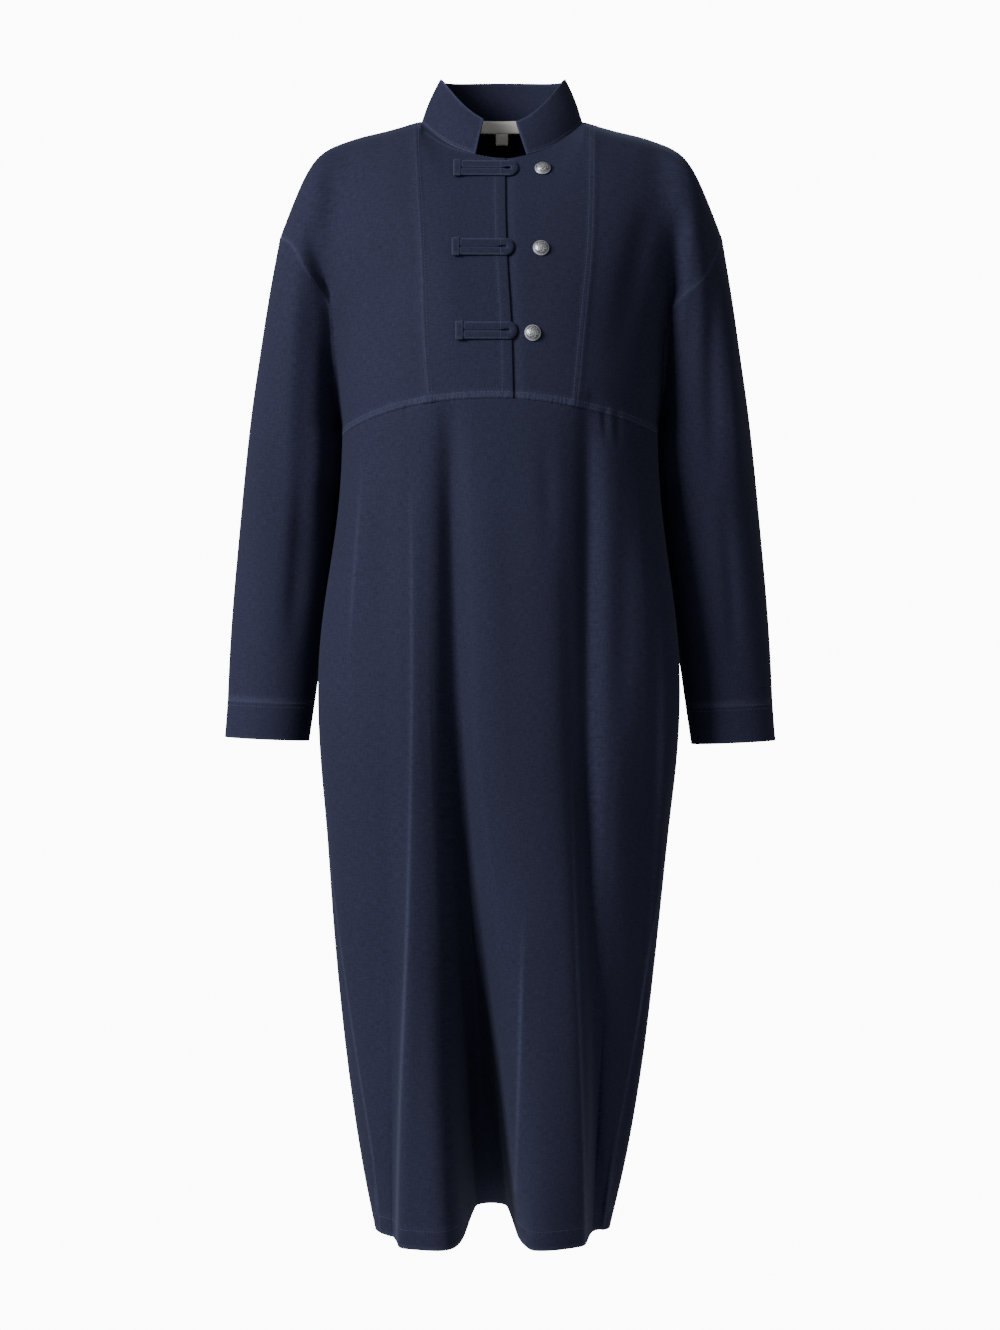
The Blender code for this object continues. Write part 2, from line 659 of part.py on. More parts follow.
def neck_edge(centre_fronts, back):
    """The neckline as the panels have it: its points in order from the front centre round by
    the viewer's left, and their angles."""
    left, right = (centre_fronts[side][0][:-1] for side in (LEFT, RIGHT))
    behind = back[0][SHOULDER_COLUMNS:SHOULDER_COLUMNS + BACK_NECK_COLUMNS + 1]
    runs = []
    for points, start, turn in ((left[1:], 0, -1), (behind[1:-1], math.pi, 1),
                                (right[:2:-1], 2 * math.pi, -1)):
        shares = np.clip((points[:, 0] - NECK_CENTRE) / NECK_HALF, -1, 1)
        runs.append((points, start + turn * np.arcsin(shares)))
    return np.concatenate([run[0] for run in runs]), np.concatenate([run[1] for run in runs])


def collar_grid(edge):
    """Collar, rows from its top edge to the neckline, columns from its left end round the back
    to its right end."""
    edge_points, edge_angles = edge
    rows = []
    for r in range(COLLAR_ROWS + 1):
        t = r / COLLAR_ROWS
        start, end = (math.radians(COLLAR_ENDS[side][0] * t + COLLAR_ENDS[side][1] * (1 - t))
                      for side in (LEFT, RIGHT))
        row = []
        for c in range(COLLAR_COLUMNS + 1):
            angle = -start - (2 * math.pi - start - end) * c / COLLAR_COLUMNS
            top = collar_top_point(angle)
            foot = np.array([np.interp(-angle, edge_angles, edge_points[:, i])
                             for i in range(3)])
            point = top + (foot - top) * t
            bulge = COLLAR_BULGE * math.sin(math.pi * t)
            point[:2] += bulge * np.array((math.sin(angle), -math.cos(angle)))
            row.append(point)
        rows.append(row)
    return np.array(rows)


def grid_normals(points, outward=1, around=False):
    """Unit normals of a grid, on the side that faces out."""
    if around:
        along = np.roll(points, -1, axis=1) - np.roll(points, 1, axis=1)
    else:
        along = np.gradient(points, axis=1)
    normals = np.cross(np.gradient(points, axis=0), along) * outward
    return normals / np.linalg.norm(normals, axis=2, keepdims=True)


def tube_normals(points, outward):
    """Normals of a sleeve. In its first rows the columns run beside the armhole seam, so there
    they come from the levels alone."""
    normals = grid_normals(points, outward, around=True)
    for r in range(3):
        for c, point in enumerate(points[r]):
            drop = -point[2]
            middle, half, deep, shift = (float(through(SLEEVE, name, drop))
                                         for name in Sleeve._fields[1:])
            side = math.copysign(1, point[0])
            way = np.array(((point[0] - side * middle) / half ** 2,
                            (point[1] - shift) / deep ** 2, 0))
            normals[r, c] = way / np.linalg.norm(way)
    return normals


def crease_normals(ring):
    """Normals of the armhole seam where it lies in the crease below the arm: square to the
    seam, and pointing out of the crease."""
    along = np.roll(ring, -1, axis=0) - np.roll(ring, 1, axis=0)
    normals = np.cross(along, (1.0, 0.0, 0.0))
    normals[normals[:, 2] > 0] *= -1
    return normals / np.linalg.norm(normals, axis=1, keepdims=True)


def share_normals(*edges):
    """Give pieces that meet at a seam the same normals there. An edge is (normals, index)."""
    total = sum(normals[index] for normals, index in edges)
    total = total / np.linalg.norm(total, axis=-1, keepdims=True)
    for normals, index in edges:
        normals[index] = total


def draw_in(points, top=0, bottom=0, first=0, last=0):
    """Move a grid's edges in from its seams."""
    points = points.copy()
    for amount, edge, inner in ((top, np.s_[0], np.s_[1]), (bottom, np.s_[-1], np.s_[-2]),
                                (first, np.s_[:, 0], np.s_[:, 1]),
                                (last, np.s_[:, -1], np.s_[:, -2])):
        if amount:
            way = points[inner] - points[edge]
            points[edge] += amount * way / np.linalg.norm(way, axis=-1, keepdims=True)
    return points


def add_object(name, mesh, material):
    """A new object for one piece, in the dress's collection."""
    mesh.materials.append(material)
    item = bpy.data.objects.new(name, mesh)
    DRESS.objects.link(item)
    return item


def wall(name, points, normals, material, thickness=CLOTH, around=False):
    """A closed wall of cloth: the grid is its outer face, the inner face lies a wall's
    thickness behind it, and its edges join the two."""
    rows, columns = points.shape[:2]
    inner = points - normals * thickness
    mesh = bpy.data.meshes.new(name)
    form = bmesh.new()
    skins = [[[form.verts.new(p * MM) for p in row] for row in grid] for grid in (points, inner)]
    spans = columns if around else columns - 1
    for skin in skins:
        for r in range(rows - 1):
            for c in range(spans):
                d = (c + 1) % columns
                form.faces.new((skin[r][c], skin[r][d], skin[r + 1][d], skin[r + 1][c]))
    outer_skin, inner_skin = skins
    for r in (0, rows - 1):
        for c in range(spans):
            d = (c + 1) % columns
            form.faces.new((outer_skin[r][c], outer_skin[r][d], inner_skin[r][d], inner_skin[r][c]))
    if not around:
        for c in (0, columns - 1):
            for r in range(rows - 1):
                form.faces.new((outer_skin[r][c], outer_skin[r + 1][c],
                                inner_skin[r + 1][c], inner_skin[r][c]))
    bmesh.ops.triangulate(form, faces=form.faces, quad_method="SHORT_EDGE")
    bmesh.ops.recalc_face_normals(form, faces=form.faces)
    form.to_mesh(mesh)
    form.free()
    mesh.shade_smooth()
    mesh.set_sharp_from_angle(angle=math.radians(50))
    return add_object(name, mesh, material)


def finish(name, colour, roughness, metallic=0.0):
    """A material with one colour."""
    material = bpy.data.materials.new(name)
    material.use_nodes = True
    shader = material.node_tree.nodes["Principled BSDF"]
    shader.inputs["Base Color"].default_value = colour
    shader.inputs["Roughness"].default_value = roughness
    shader.inputs["Metallic"].default_value = metallic
    return material


def front_surface(x, drop, lift):
    """A point on the centre fronts, moved out from the cloth."""
    step = 1.0
    here = np.array((x, body_y(x, drop), -drop))
    across = np.array((x + step, body_y(x + step, drop), -drop)) - here
    down = np.array((x, body_y(x, drop + step), -drop - step)) - here
    normal = np.cross(down, across)
    normal /= np.linalg.norm(normal)
    return here + normal * lift, normal


def build_loop(number, loop, material):
    """A strap folded into two legs side by side, sewn down at one end, with a round tip that
    reaches past the slit."""
    radius = LOOP_WIDTH / 2
    turn = loop.tip - radius
    straight = np.linspace(loop.left, turn, LOOP_STEPS)
    angles = np.radians(LOOP_TIP_ANGLES)
    places = [(x, radius) for x in straight]
    places += [(turn + radius * math.sin(a), radius * math.cos(a)) for a in angles]
    top, under = [], []
    for x, half in places:
        band = LOOP_BAND_LIFT if x - loop.left < LOOP_BAND else 0
        top_row, under_row = [], []
        for share, height in LOOP_PROFILE:
            drop = loop.drop + half * share
            point, normal = front_surface(x, drop, LOOP_LIFT)
            under_row.append(point)
            top_row.append(point + normal * (height + band))
        top.append(top_row)
        under.append(under_row)
    top, under = np.array(top).transpose(1, 0, 2), np.array(under).transpose(1, 0, 2)
    way = top - under
    thickness = np.linalg.norm(way, axis=2, keepdims=True)
    wall(f"loop_{number}", top, way / thickness, material, thickness)


def build_button(number, button, material):
    """A turned metal dome on a short shank."""
    bevel_in, bevel_up = BUTTON_BEVEL
    profile = [(0, SHANK_HEIGHT + BUTTON_RIM + DOME_HEIGHT - DOME_FLAT)]
    for a in np.radians(DOME_ANGLES):
        profile.append((BUTTON_RADIUS * math.sin(a),
                        SHANK_HEIGHT + BUTTON_RIM + DOME_HEIGHT * math.cos(a)))
    profile += [(BUTTON_RADIUS, SHANK_HEIGHT + bevel_up), (BUTTON_RADIUS - bevel_in, SHANK_HEIGHT),
                (SHANK_RADIUS, SHANK_HEIGHT), (SHANK_RADIUS, 0), (0, 0)]
    mesh = bpy.data.meshes.new(f"button_{number}")
    form = bmesh.new()
    corners = [form.verts.new((r * MM, 0, z * MM)) for r, z in profile]
    for a, b in zip(corners[:-1], corners[1:]):
        form.edges.new((a, b))
    form.to_mesh(mesh)
    form.free()
    item = add_object(f"button_{number}", mesh, material)
    turn = item.modifiers.new("turned", "SCREW")
    turn.axis = "Z"
    turn.steps = turn.render_steps = BUTTON_SIDES
    turn.use_merge_vertices = True
    turn.merge_threshold = 0.00001
    turn.use_normal_calculate = True
    point, normal = front_surface(button.out, button.drop, SEAM_GAP)
    item.rotation_euler = Vector(normal).to_track_quat("Z", "Y").to_euler()
    item.location = Vector(point) * MM


def hanging_strip(name, width, top, bottom, depth_at, material, columns):
    """A flat strip inside the back of the neck, from one height down to another."""
    places = NECK_CENTRE + np.linspace(-width / 2, width / 2, columns + 1)
    points = np.array([[(x, depth_at(x), z) for x in places] for z in (top, bottom)])
    normals = np.zeros_like(points)
    normals[..., 1] = 1
    wall(name, points, normals, material, LABEL_WALL)


def collar_inside(x):
    """Depth of the collar's inner face behind the neck, where the label is sewn."""
    share = (x - NECK_CENTRE) / NECK_HALF
    return NECK_BACK * math.cos(math.asin(share)) - BAND_CLOTH - LABEL_CLEAR


def build_dress():
    """Cut every piece and place it."""
    twill = finish("navy_twill", NAVY, 0.85)
    strap = finish("navy_strap", NAVY_STRAP, 0.9)
    pewter = finish("old_pewter", PEWTER, 0.42, 0.9)
    cream = finish("cream_satin_tape", CREAM, 0.6)
    half_gap = SEAM_GAP / 2

    centre = {side: centre_front_grid(side) for side in (LEFT, RIGHT)}
    side_front = {side: side_front_grid(side) for side in (LEFT, RIGHT)}
    skirt, back = skirt_grid(), back_grid()
    for side in (LEFT, RIGHT):
        behind = shoulder_columns(side)
        back[0, behind[:-1]] = side_front[side][0, ::-1]
        back[0, behind[-1]] = centre[side][0, -2]
    collar = collar_grid(neck_edge(centre, back))
    for edge in (0, -1):
        skirt[:, edge] = back[BODICE_ROWS:, edge]
    sleeves = {side: sleeve_grid(side) for side in (LEFT, RIGHT)}
    cuffs = {side: cuff_grid(side) for side in (LEFT, RIGHT)}

    centre_n = {side: grid_normals(centre[side], side) for side in centre}
    side_n = {side: grid_normals(side_front[side], side) for side in side_front}
    skirt_n, back_n = grid_normals(skirt), grid_normals(back, -1)
    collar_n = grid_normals(collar, -1)
    sleeve_n = {side: tube_normals(sleeves[side], -side) for side in sleeves}
    cuff_n = {side: grid_normals(cuffs[side], -side, around=True) for side in cuffs}

    for side in (LEFT, RIGHT):
        share_normals((centre_n[side], np.s_[:, -1]), (side_n[side], np.s_[:, 0]))
        behind = shoulder_columns(side)
        total = back_n[0, behind]
        total[:-1] += side_n[side][0, ::-1]
        total[-1] += centre_n[side][0, -2]
        total /= np.linalg.norm(total, axis=1, keepdims=True)
        back_n[0, behind] = total
        side_n[side][0] = total[-2::-1]
        centre_n[side][0, -2:] = total[:-3:-1]
        share_normals((cuff_n[side], np.s_[0]), (sleeve_n[side], np.s_[-1]))
        edge = 0 if side == LEFT else -1
        count = BODICE_ROWS
        front_half = np.s_[0, :SEAM_STEPS + 1]
        share_normals((side_n[side], np.s_[:count, -1]), (sleeve_n[side], front_half))
        back_columns = [0] + list(range(2 * SEAM_STEPS - 1, SEAM_STEPS - 1, -1))
        share_normals((back_n, np.s_[:count, edge]), (sleeve_n[side], np.s_[0, back_columns]))
        ring_n = sleeve_n[side][0]
        creased = slice(STEPS_ABOVE + 1, 2 * SEAM_STEPS - STEPS_ABOVE)
        ring_n[creased] = crease_normals(sleeves[side][0])[creased]
        ring_n[0] = np.array((side, 0, SHOULDER_TIP)) / math.hypot(1, SHOULDER_TIP)
        side_n[side][:count, -1] = sleeve_n[side][front_half]
        back_n[:count, edge] = sleeve_n[side][0, back_columns]
        share_normals((skirt_n, np.s_[1:, edge]), (back_n, np.s_[BODICE_ROWS + 1:, edge]))
        corner = skirt_n[0, edge] + side_n[side][-1, -1] + back_n[BODICE_ROWS, edge]
        corner /= np.linalg.norm(corner)
        for normals, index in ((skirt_n, (0, edge)), (side_n[side], (-1, -1)),
                               (back_n, (BODICE_ROWS, edge))):
            normals[index] = corner

    for side, word in ((LEFT, "left"), (RIGHT, "right")):
        wall(f"front_centre_{word}", draw_in(centre[side], half_gap, half_gap, 0, half_gap),
             centre_n[side], twill)
        wall(f"front_side_{word}",
             draw_in(side_front[side], half_gap, half_gap, half_gap, half_gap),
             side_n[side], twill)
        wall(f"sleeve_{word}", draw_in(sleeves[side], half_gap, half_gap),
             sleeve_n[side], twill, around=True)
        wall(f"cuff_{word}", draw_in(cuffs[side], half_gap), cuff_n[side], twill,
             BAND_CLOTH, around=True)
    wall("skirt_front", draw_in(skirt, half_gap, 0, half_gap, half_gap), skirt_n, twill)
    wall("back", draw_in(back, half_gap, 0, half_gap, half_gap), back_n, twill)
    wall("collar", draw_in(collar, 0, half_gap), collar_n, twill, BAND_CLOTH)

    for number, loop in enumerate(LOOPS, 1):
        build_loop(number, loop, strap)
    for number, button in enumerate(BUTTONS, 1):
        build_button(number, button, pewter)
    hanging_strip("neck_label", LABEL_WIDTH, LABEL_TOP, LABEL_BOTTOM,
                  collar_inside, cream, LABEL_COLUMNS)
    hanging_strip("size_tab", TAB_WIDTH, LABEL_BOTTOM - SEAM_GAP, TAB_BOTTOM,
                  lambda x: collar_inside(NECK_CENTRE), cream, TAB_COLUMNS)


for old in list(bpy.data.objects):
    bpy.data.objects.remove(old, do_unlink=True)
DRESS = bpy.data.collections.new("mandarin_collar_dress")
bpy.context.scene.collection.children.link(DRESS)
build_dress()
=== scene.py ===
"""A long navy dress with a stand collar, as a dressmaker would put it together.

The front is -Y, +X is the viewer's right, and lengths here are metres unless a name or a
comment says millimetres. Every panel is a finer shell on the form of its solid.
"""
import math
from collections import namedtuple

import bmesh
import bpy
import numpy as np
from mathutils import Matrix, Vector
from mathutils.bvhtree import BVHTree
from mathutils.kdtree import KDTree


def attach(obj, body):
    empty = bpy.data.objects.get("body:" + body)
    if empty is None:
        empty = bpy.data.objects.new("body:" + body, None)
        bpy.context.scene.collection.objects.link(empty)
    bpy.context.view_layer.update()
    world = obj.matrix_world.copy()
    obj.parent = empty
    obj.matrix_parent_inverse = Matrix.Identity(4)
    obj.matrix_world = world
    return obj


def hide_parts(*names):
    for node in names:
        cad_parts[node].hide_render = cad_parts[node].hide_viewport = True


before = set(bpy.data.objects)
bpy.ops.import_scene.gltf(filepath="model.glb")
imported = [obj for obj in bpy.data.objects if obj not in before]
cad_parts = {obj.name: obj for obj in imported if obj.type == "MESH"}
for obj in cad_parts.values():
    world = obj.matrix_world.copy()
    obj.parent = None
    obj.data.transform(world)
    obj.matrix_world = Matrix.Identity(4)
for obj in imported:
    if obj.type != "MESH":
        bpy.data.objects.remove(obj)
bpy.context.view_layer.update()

# Where the photographer stood
# A level camera as far off as a full-length catalogue shot is taken, at the height of the
# wearer's hips.
PHOTO_HEIGHT = 1330
VIEW_DISTANCE, VIEW_HEIGHT = 2.6, -0.554
MM_PER_PIXEL = 1.02                     # of the photograph, on the dress's middle plane
SENSOR_MM = 36

camera_data = bpy.data.cameras.new("studio_camera")
camera_data.sensor_fit = "VERTICAL"
camera_data.sensor_height = SENSOR_MM
camera_data.lens = SENSOR_MM * VIEW_DISTANCE * 1000 / (MM_PER_PIXEL * PHOTO_HEIGHT)
camera = bpy.data.objects.new("studio_camera", camera_data)
camera.location = (0, -VIEW_DISTANCE, VIEW_HEIGHT)
camera.rotation_euler = (math.pi / 2, 0, 0)
bpy.context.scene.collection.objects.link(camera)
bpy.context.scene.camera = camera

# The twill, and the front of the skirt
# Washed navy twill of cotton with some linen, about 0.7 mm thick: the dye is rubbed paler
# where seams stand up, and a painted highlight lies as a pale line along the ridges of folds.
# The skirt front is one wide panel, hung from the under-bust seam, with a deep fold in the
# middle that opens towards the hem.
NAVY_THREAD, NAVY_SHADOW, NAVY_WORN_AND_LIT = "#2a2c44", "#1b1c2e", "#474b65"
THREAD_MM = 1.3             # real threads are 0.4 mm apart, drawn coarser so that they show
SLUB_MM = 7                 # thick places in the yarn run on for about this much
WASH_MM = 180               # and the dye has faded unevenly in patches of this size
# the pale line below is also the width of the painted highlight along a fold's ridge
WEAR_AND_HIGHLIGHT_MM = 1.8             # width of the pale line along a seam


def linear(code):
    """An sRGB hex colour as linear red, green, blue and alpha."""
    parts = [int(code[i:i + 2], 16) / 255 for i in (1, 3, 5)]
    return [c / 12.92 if c <= 0.04045 else ((c + 0.055) / 1.055) ** 2.4 for c in parts] + [1]


def add_node(tree, kind, settings, links=None):
    """Add a node to a material, with its settings and what its sockets are linked to."""
    new = tree.nodes.new("ShaderNode" + kind)
    for name, value in settings.items():
        if name in new.inputs.keys() or isinstance(name, int):
            new.inputs[name].default_value = value
        else:
            setattr(new, name, value)
    for name, source in (links or {}).items():
        tree.links.new(source, new.inputs[name])
    return new


def new_material(name, **shader_values):
    """A material, its node tree and its shader, with constant values on the shader itself."""
    material = bpy.data.materials.new(name)
    material.use_nodes = True
    tree = material.node_tree
    shader = tree.nodes["Principled BSDF"]
    for socket, value in shader_values.items():
        shader.inputs[socket.replace("_", " ")].default_value = value
    return material, tree, shader


def navy_twill(name, thread, shadow, rubbed):
    """Washed twill: slubbed threads, dye faded unevenly, rubbed seams and painted ridge highlights."""
    material, tree, shader = new_material(
        name, Roughness=0.9, Specular_IOR_Level=0.2, Sheen_Weight=0.16, Sheen_Roughness=0.4,
        Sheen_Tint=linear("#8f98bd"))
    grain = add_node(tree, "UVMap", {"uv_map": "grain"}).outputs["UV"]
    along, fine = 1000 / SLUB_MM, 1000 / THREAD_MM
    warp_way = add_node(tree, "Mapping", {"Scale": (fine, along, 1)}, {"Vector": grain})
    weft_way = add_node(tree, "Mapping", {"Scale": (along, fine, 1)}, {"Vector": grain})
    yarns = [add_node(tree, "TexNoise", {"Scale": 1.0, "Detail": 3.0, "Roughness": 0.7},
                      {"Vector": way.outputs["Vector"]}) for way in (warp_way, weft_way)]
    cloth_face = add_node(tree, "Mix", {"data_type": "FLOAT", 0: 0.5},
                          {2: yarns[0].outputs["Fac"], 3: yarns[1].outputs["Fac"]})
    place = add_node(tree, "TexCoord", {}).outputs["Object"]
    wash = add_node(tree, "TexNoise", {"Scale": 1000 / WASH_MM, "Detail": 3.0}, {"Vector": place})
    yarn_tone = add_node(tree, "MapRange", {"From Min": 0.34, "From Max": 0.66},
                         {"Value": cloth_face.outputs[0]})
    wash_tone = add_node(tree, "MapRange", {"From Min": 0.3, "From Max": 0.7,
                                            "To Min": -0.1, "To Max": 0.1},
                         {"Value": wash.outputs["Fac"]})
    tone = add_node(tree, "Math", {"operation": "ADD", "use_clamp": True},
                    {0: yarn_tone.outputs["Result"], 1: wash_tone.outputs["Result"]})
    dyed = add_node(tree, "Mix", {"data_type": "RGBA", 6: linear(shadow), 7: linear(thread)},
                    {0: tone.outputs[0]})
    # the pale share: rubbed wear along seams, and a painted highlight along fold ridges
    wear_and_highlight_share = add_node(tree, "Attribute", {"attribute_name": "rubbed"}).outputs["Fac"]
    caught = add_node(tree, "Math", {"operation": "MULTIPLY"},
                      {0: wear_and_highlight_share, 1: yarn_tone.outputs["Result"]})
    pale_share = add_node(tree, "Math", {"operation": "MULTIPLY_ADD", 1: 0.5, "use_clamp": True},
                    {0: wear_and_highlight_share, 2: caught.outputs[0]})
    colour = add_node(tree, "Mix", {"data_type": "RGBA", 7: linear(rubbed)},
                      {0: pale_share.outputs[0], 6: dyed.outputs[2]})
    tree.links.new(colour.outputs[2], shader.inputs["Base Color"])
    bump = add_node(tree, "Bump", {"Strength": 0.4, "Distance": 0.0006},
                    {"Height": cloth_face.outputs[0]})
    tree.links.new(bump.outputs["Normal"], shader.inputs["Normal"])
    return material


twill = navy_twill("washed_navy_twill", NAVY_THREAD, NAVY_SHADOW, NAVY_WORN_AND_LIT)


def places_of(piece):
    """Every point of a piece, as an array."""
    points = np.empty(len(piece.data.vertices) * 3, np.float32)
    piece.data.vertices.foreach_get("co", points)
    return points.reshape(-1, 3).astype(float)


def move_to(piece, points):
    """Put a piece's points where an array says."""
    piece.data.vertices.foreach_set("co", points.astype(np.float32).ravel())
    piece.data.update()


SEAM_EASE = 0.00018         # how far each panel is let out, so that no light shows in a seam
CUT_EDGE = math.radians(62) # a panel turns by more than this at its cut edges
JOIN_WITHIN = 0.00002       # corners closer than this are one


def let_out(piece):
    """Move the cut edges of a panel out, in edit mode. They are its faces with sharp edges."""
    form = bmesh.from_edit_mesh(piece.data)
    ways = {}
    for face in form.faces:
        if sum(edge.calc_face_angle(0) > CUT_EDGE for edge in face.edges) > 1:
            for vert in face.verts:
                ways[vert] = ways.get(vert, Vector()) + face.normal
    for vert, way in ways.items():
        vert.co += way.normalized() * SEAM_EASE
    bmesh.update_edit_mesh(piece.data)


def cut_cloth(node, fineness):
    """The same panel in finer cloth: the solid's wall with its corners joined, its grid
    restored, its cut edges kept crisp and its faces smoothed. Smoothing draws a panel in, so
    its corners are let out by as much beforehand."""
    bpy.ops.object.select_all(action="DESELECT")
    piece = bpy.data.objects.new(node + "_cloth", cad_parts[node].data.copy())
    bpy.context.scene.collection.objects.link(piece)
    bpy.context.view_layer.objects.active = piece
    piece.select_set(True)
    bpy.ops.mesh.customdata_custom_splitnormals_clear()
    bpy.ops.object.mode_set(mode="EDIT")
    bpy.ops.mesh.select_all(action="SELECT")
    bpy.ops.mesh.remove_doubles(threshold=JOIN_WITHIN)
    bpy.ops.mesh.tris_convert_to_quads(face_threshold=math.pi, shape_threshold=math.pi,
                                       topology_influence=1.0)
    bpy.ops.mesh.select_all(action="DESELECT")
    bpy.ops.mesh.select_mode(type="EDGE")
    bpy.ops.mesh.edges_select_sharp(sharpness=CUT_EDGE)
    bpy.ops.transform.edge_crease(value=1)
    let_out(piece)
    bpy.ops.mesh.select_all(action="SELECT")
    bpy.ops.mesh.faces_shade_smooth()
    bpy.ops.object.mode_set(mode="OBJECT")
    smoothing = piece.modifiers.new("smoothing", "SUBSURF")
    smoothing.levels = smoothing.render_levels = fineness
    cut_at = places_of(piece)
    smoothed = piece.evaluated_get(bpy.context.evaluated_depsgraph_get())
    drawn_in = places_of(smoothed)[:len(cut_at)] - cut_at
    move_to(piece, cut_at - drawn_in)
    bpy.ops.object.modifier_apply(modifier=smoothing.name)
    return piece


def ease(t):
    """0 to 1 with soft ends."""
    t = np.clip(t, 0, 1)
    return t * t * (3 - 2 * t)


# A fold pressed in: its depth at even steps along it, how wide it is on the left and
# on the right of it, how strong a painted highlight along its ridge is, and its places across and
# down, all in millimetres.
# A depth below 0 is a ridge.
Fold = namedtuple("Fold", "depths left right rubbed route")
FRONT_FOLDS = (
    # ridge down the viewer's left sleeve and the trough towards the underarm
    Fold((0, -3.5, -4, -3, 0), 11, 13, 0, ((-203, 84), (-207, 200), (-210, 330), (-216, 460))),
    Fold((0, 5, 6, 3), 10, 9, 0, ((-196, 104), (-186, 140), (-174, 172), (-166, 216))),
    Fold((0, 3.5, 4, 0), 9, 12, 0, ((-198, 352), (-204, 440), (-212, 545))),
    Fold((0, -2, -1.5, 0), 9, 12, 0, ((-240, 300), (-247, 400), (-252, 520))),
    # the viewer's right shoulder, chest and sleeve
    Fold((0, 4, 5, 2, 0), 13, 15, 0, ((150, 88), (138, 140), (127, 199), (112, 262))),
    Fold((0, 7, 11, 12, 9), 10, 9, 0, ((182, 92), (176, 150), (169, 205), (164, 262), (161, 305))),
    Fold((0, -3, -3.5, 0), 9, 9, 0, ((193, 96), (184, 150), (178, 205), (178, 262))),
    Fold((0, 4, 5, 4, 0), 9, 10, 0, ((203, 88), (215, 140), (211, 250), (216, 380))),
    Fold((0, -3, -3, 0), 8, 9, 0, ((232, 150), (236, 260), (243, 400))),
    Fold((0, 2.5, 3, 0), 8, 8, 0, ((224, 380), (233, 470), (238, 566))),
    # the fronts of both sleeves stay flat up to the crease below the arm
    Fold((0, -5, -7, -6, 0), 15, 8, 0, ((-184, 212), (-181, 280), (-182, 345), (-188, 430))),
    Fold((0, -4, -5, -4, 0), 8, 15, 0, ((182, 230), (181, 290), (183, 350), (190, 430))),
    # soft pull lines above the bust seam
    Fold((0, 1.8, 0), 16, 16, 0, ((-104, 95), (-108, 180), (-112, 262))),
    Fold((0, -1.5, -1.5, 0), 20, 20, 0, ((-60, 110), (-52, 190), (-48, 275))),
    # ridges of the skirt, where the cloth turns at the edges of its two lobes, with a painted
    # highlight along them
    Fold((0, -1, -1.4, -1.6, -2.4, -2.8, -2.8, -2.8), 3, 14, 0.4,
         ((-88, 345), (-86, 450), (-85, 560), (-88, 734), (-92, 850), (-98, 962), (-102, 1076),
          (-103, 1130))),
    # the two troughs between them, and the shaded side of the right lobe
    Fold((2, 7, 10, 10, 7, 0), 13, 8, 0, ((-46, 304), (-44, 400), (-38, 520), (-34, 700), (-31, 850))),
    Fold((3, 8, 8, 6, 4, 0), 9, 14, 0, ((86, 304), (86, 420), (87, 560), (89, 700), (92, 850))),
    Fold((0, 4, 6, 6, 6), 5, 9, 0, ((86, 600), (86, 760), (90, 880), (94, 1010), (97, 1126))),
    Fold((0, 8, 12, 13, 12), 36, 9, 0,
         ((152, 480), (154, 640), (148, 780), (134, 920), (120, 1030), (108, 1120))),
    Fold((0, 6, 9, 9), 11, 8, 0, ((-28, 840), (-23, 950), (-18, 1050), (-13, 1110))),
    # gathers under the seam
    Fold((2, 1.6, 0), 2.5, 4.5, 0, ((101, 306), (102, 320), (104, 336))),
    Fold((2, 1.6, 0), 2.5, 4.5, 0, ((114, 309), (115, 324), (116, 342))),
    Fold((2, 1.8, 0), 3, 5, 0, ((140, 316), (139, 330), (136, 352))),
    Fold((1.4, 0), 2.5, 4, 0, ((-92, 304), (-93, 322))),
    # two ridges down the skirt, with a painted highlight along each
    Fold((0, -1.2, -2.4, -2.6, -2.6, -2.6), 14, 3, 0.5,
         ((70, 640), (72, 734), (75, 830), (79, 930), (83, 1040), (85, 1130))),
    Fold((0, -1.4, -1.6, -1.2), 3, 9, 0.3, ((23, 790), (21, 860), (18, 960), (15, 1076))),
    # long soft troughs beside and above them
    Fold((0, 3.5, 3, 0), 14, 16, 0, ((-116, 320), (-112, 420), (-116, 560))),
    # a ridge with a faint painted highlight along it
    Fold((0, -2, -2, 0), 8, 10, 0.15, ((-136, 350), (-143, 450), (-150, 560))),
    Fold((0, -2, -1.5, 0), 18, 18, 0, ((-20, 330), (-14, 440), (-6, 620))),
    Fold((0, 2.5, 3, 0), 13, 13, 0, ((124, 360), (122, 480), (118, 640))),
    Fold((0, 2, 2.5, 2, 0), 10, 12, 0, ((110, 700), (112, 800), (112, 930), (108, 1060))),
    Fold((0, 1.8, 1.8, 0), 12, 12, 0, ((-122, 760), (-124, 880), (-122, 1010))),
    Fold((0, 2, 0), 9, 9, 0, ((44, 310), (46, 380), (50, 470))),
    Fold((0, 1.6, 0), 8, 8, 0, ((-84, 312), (-86, 370), (-88, 450))),
)
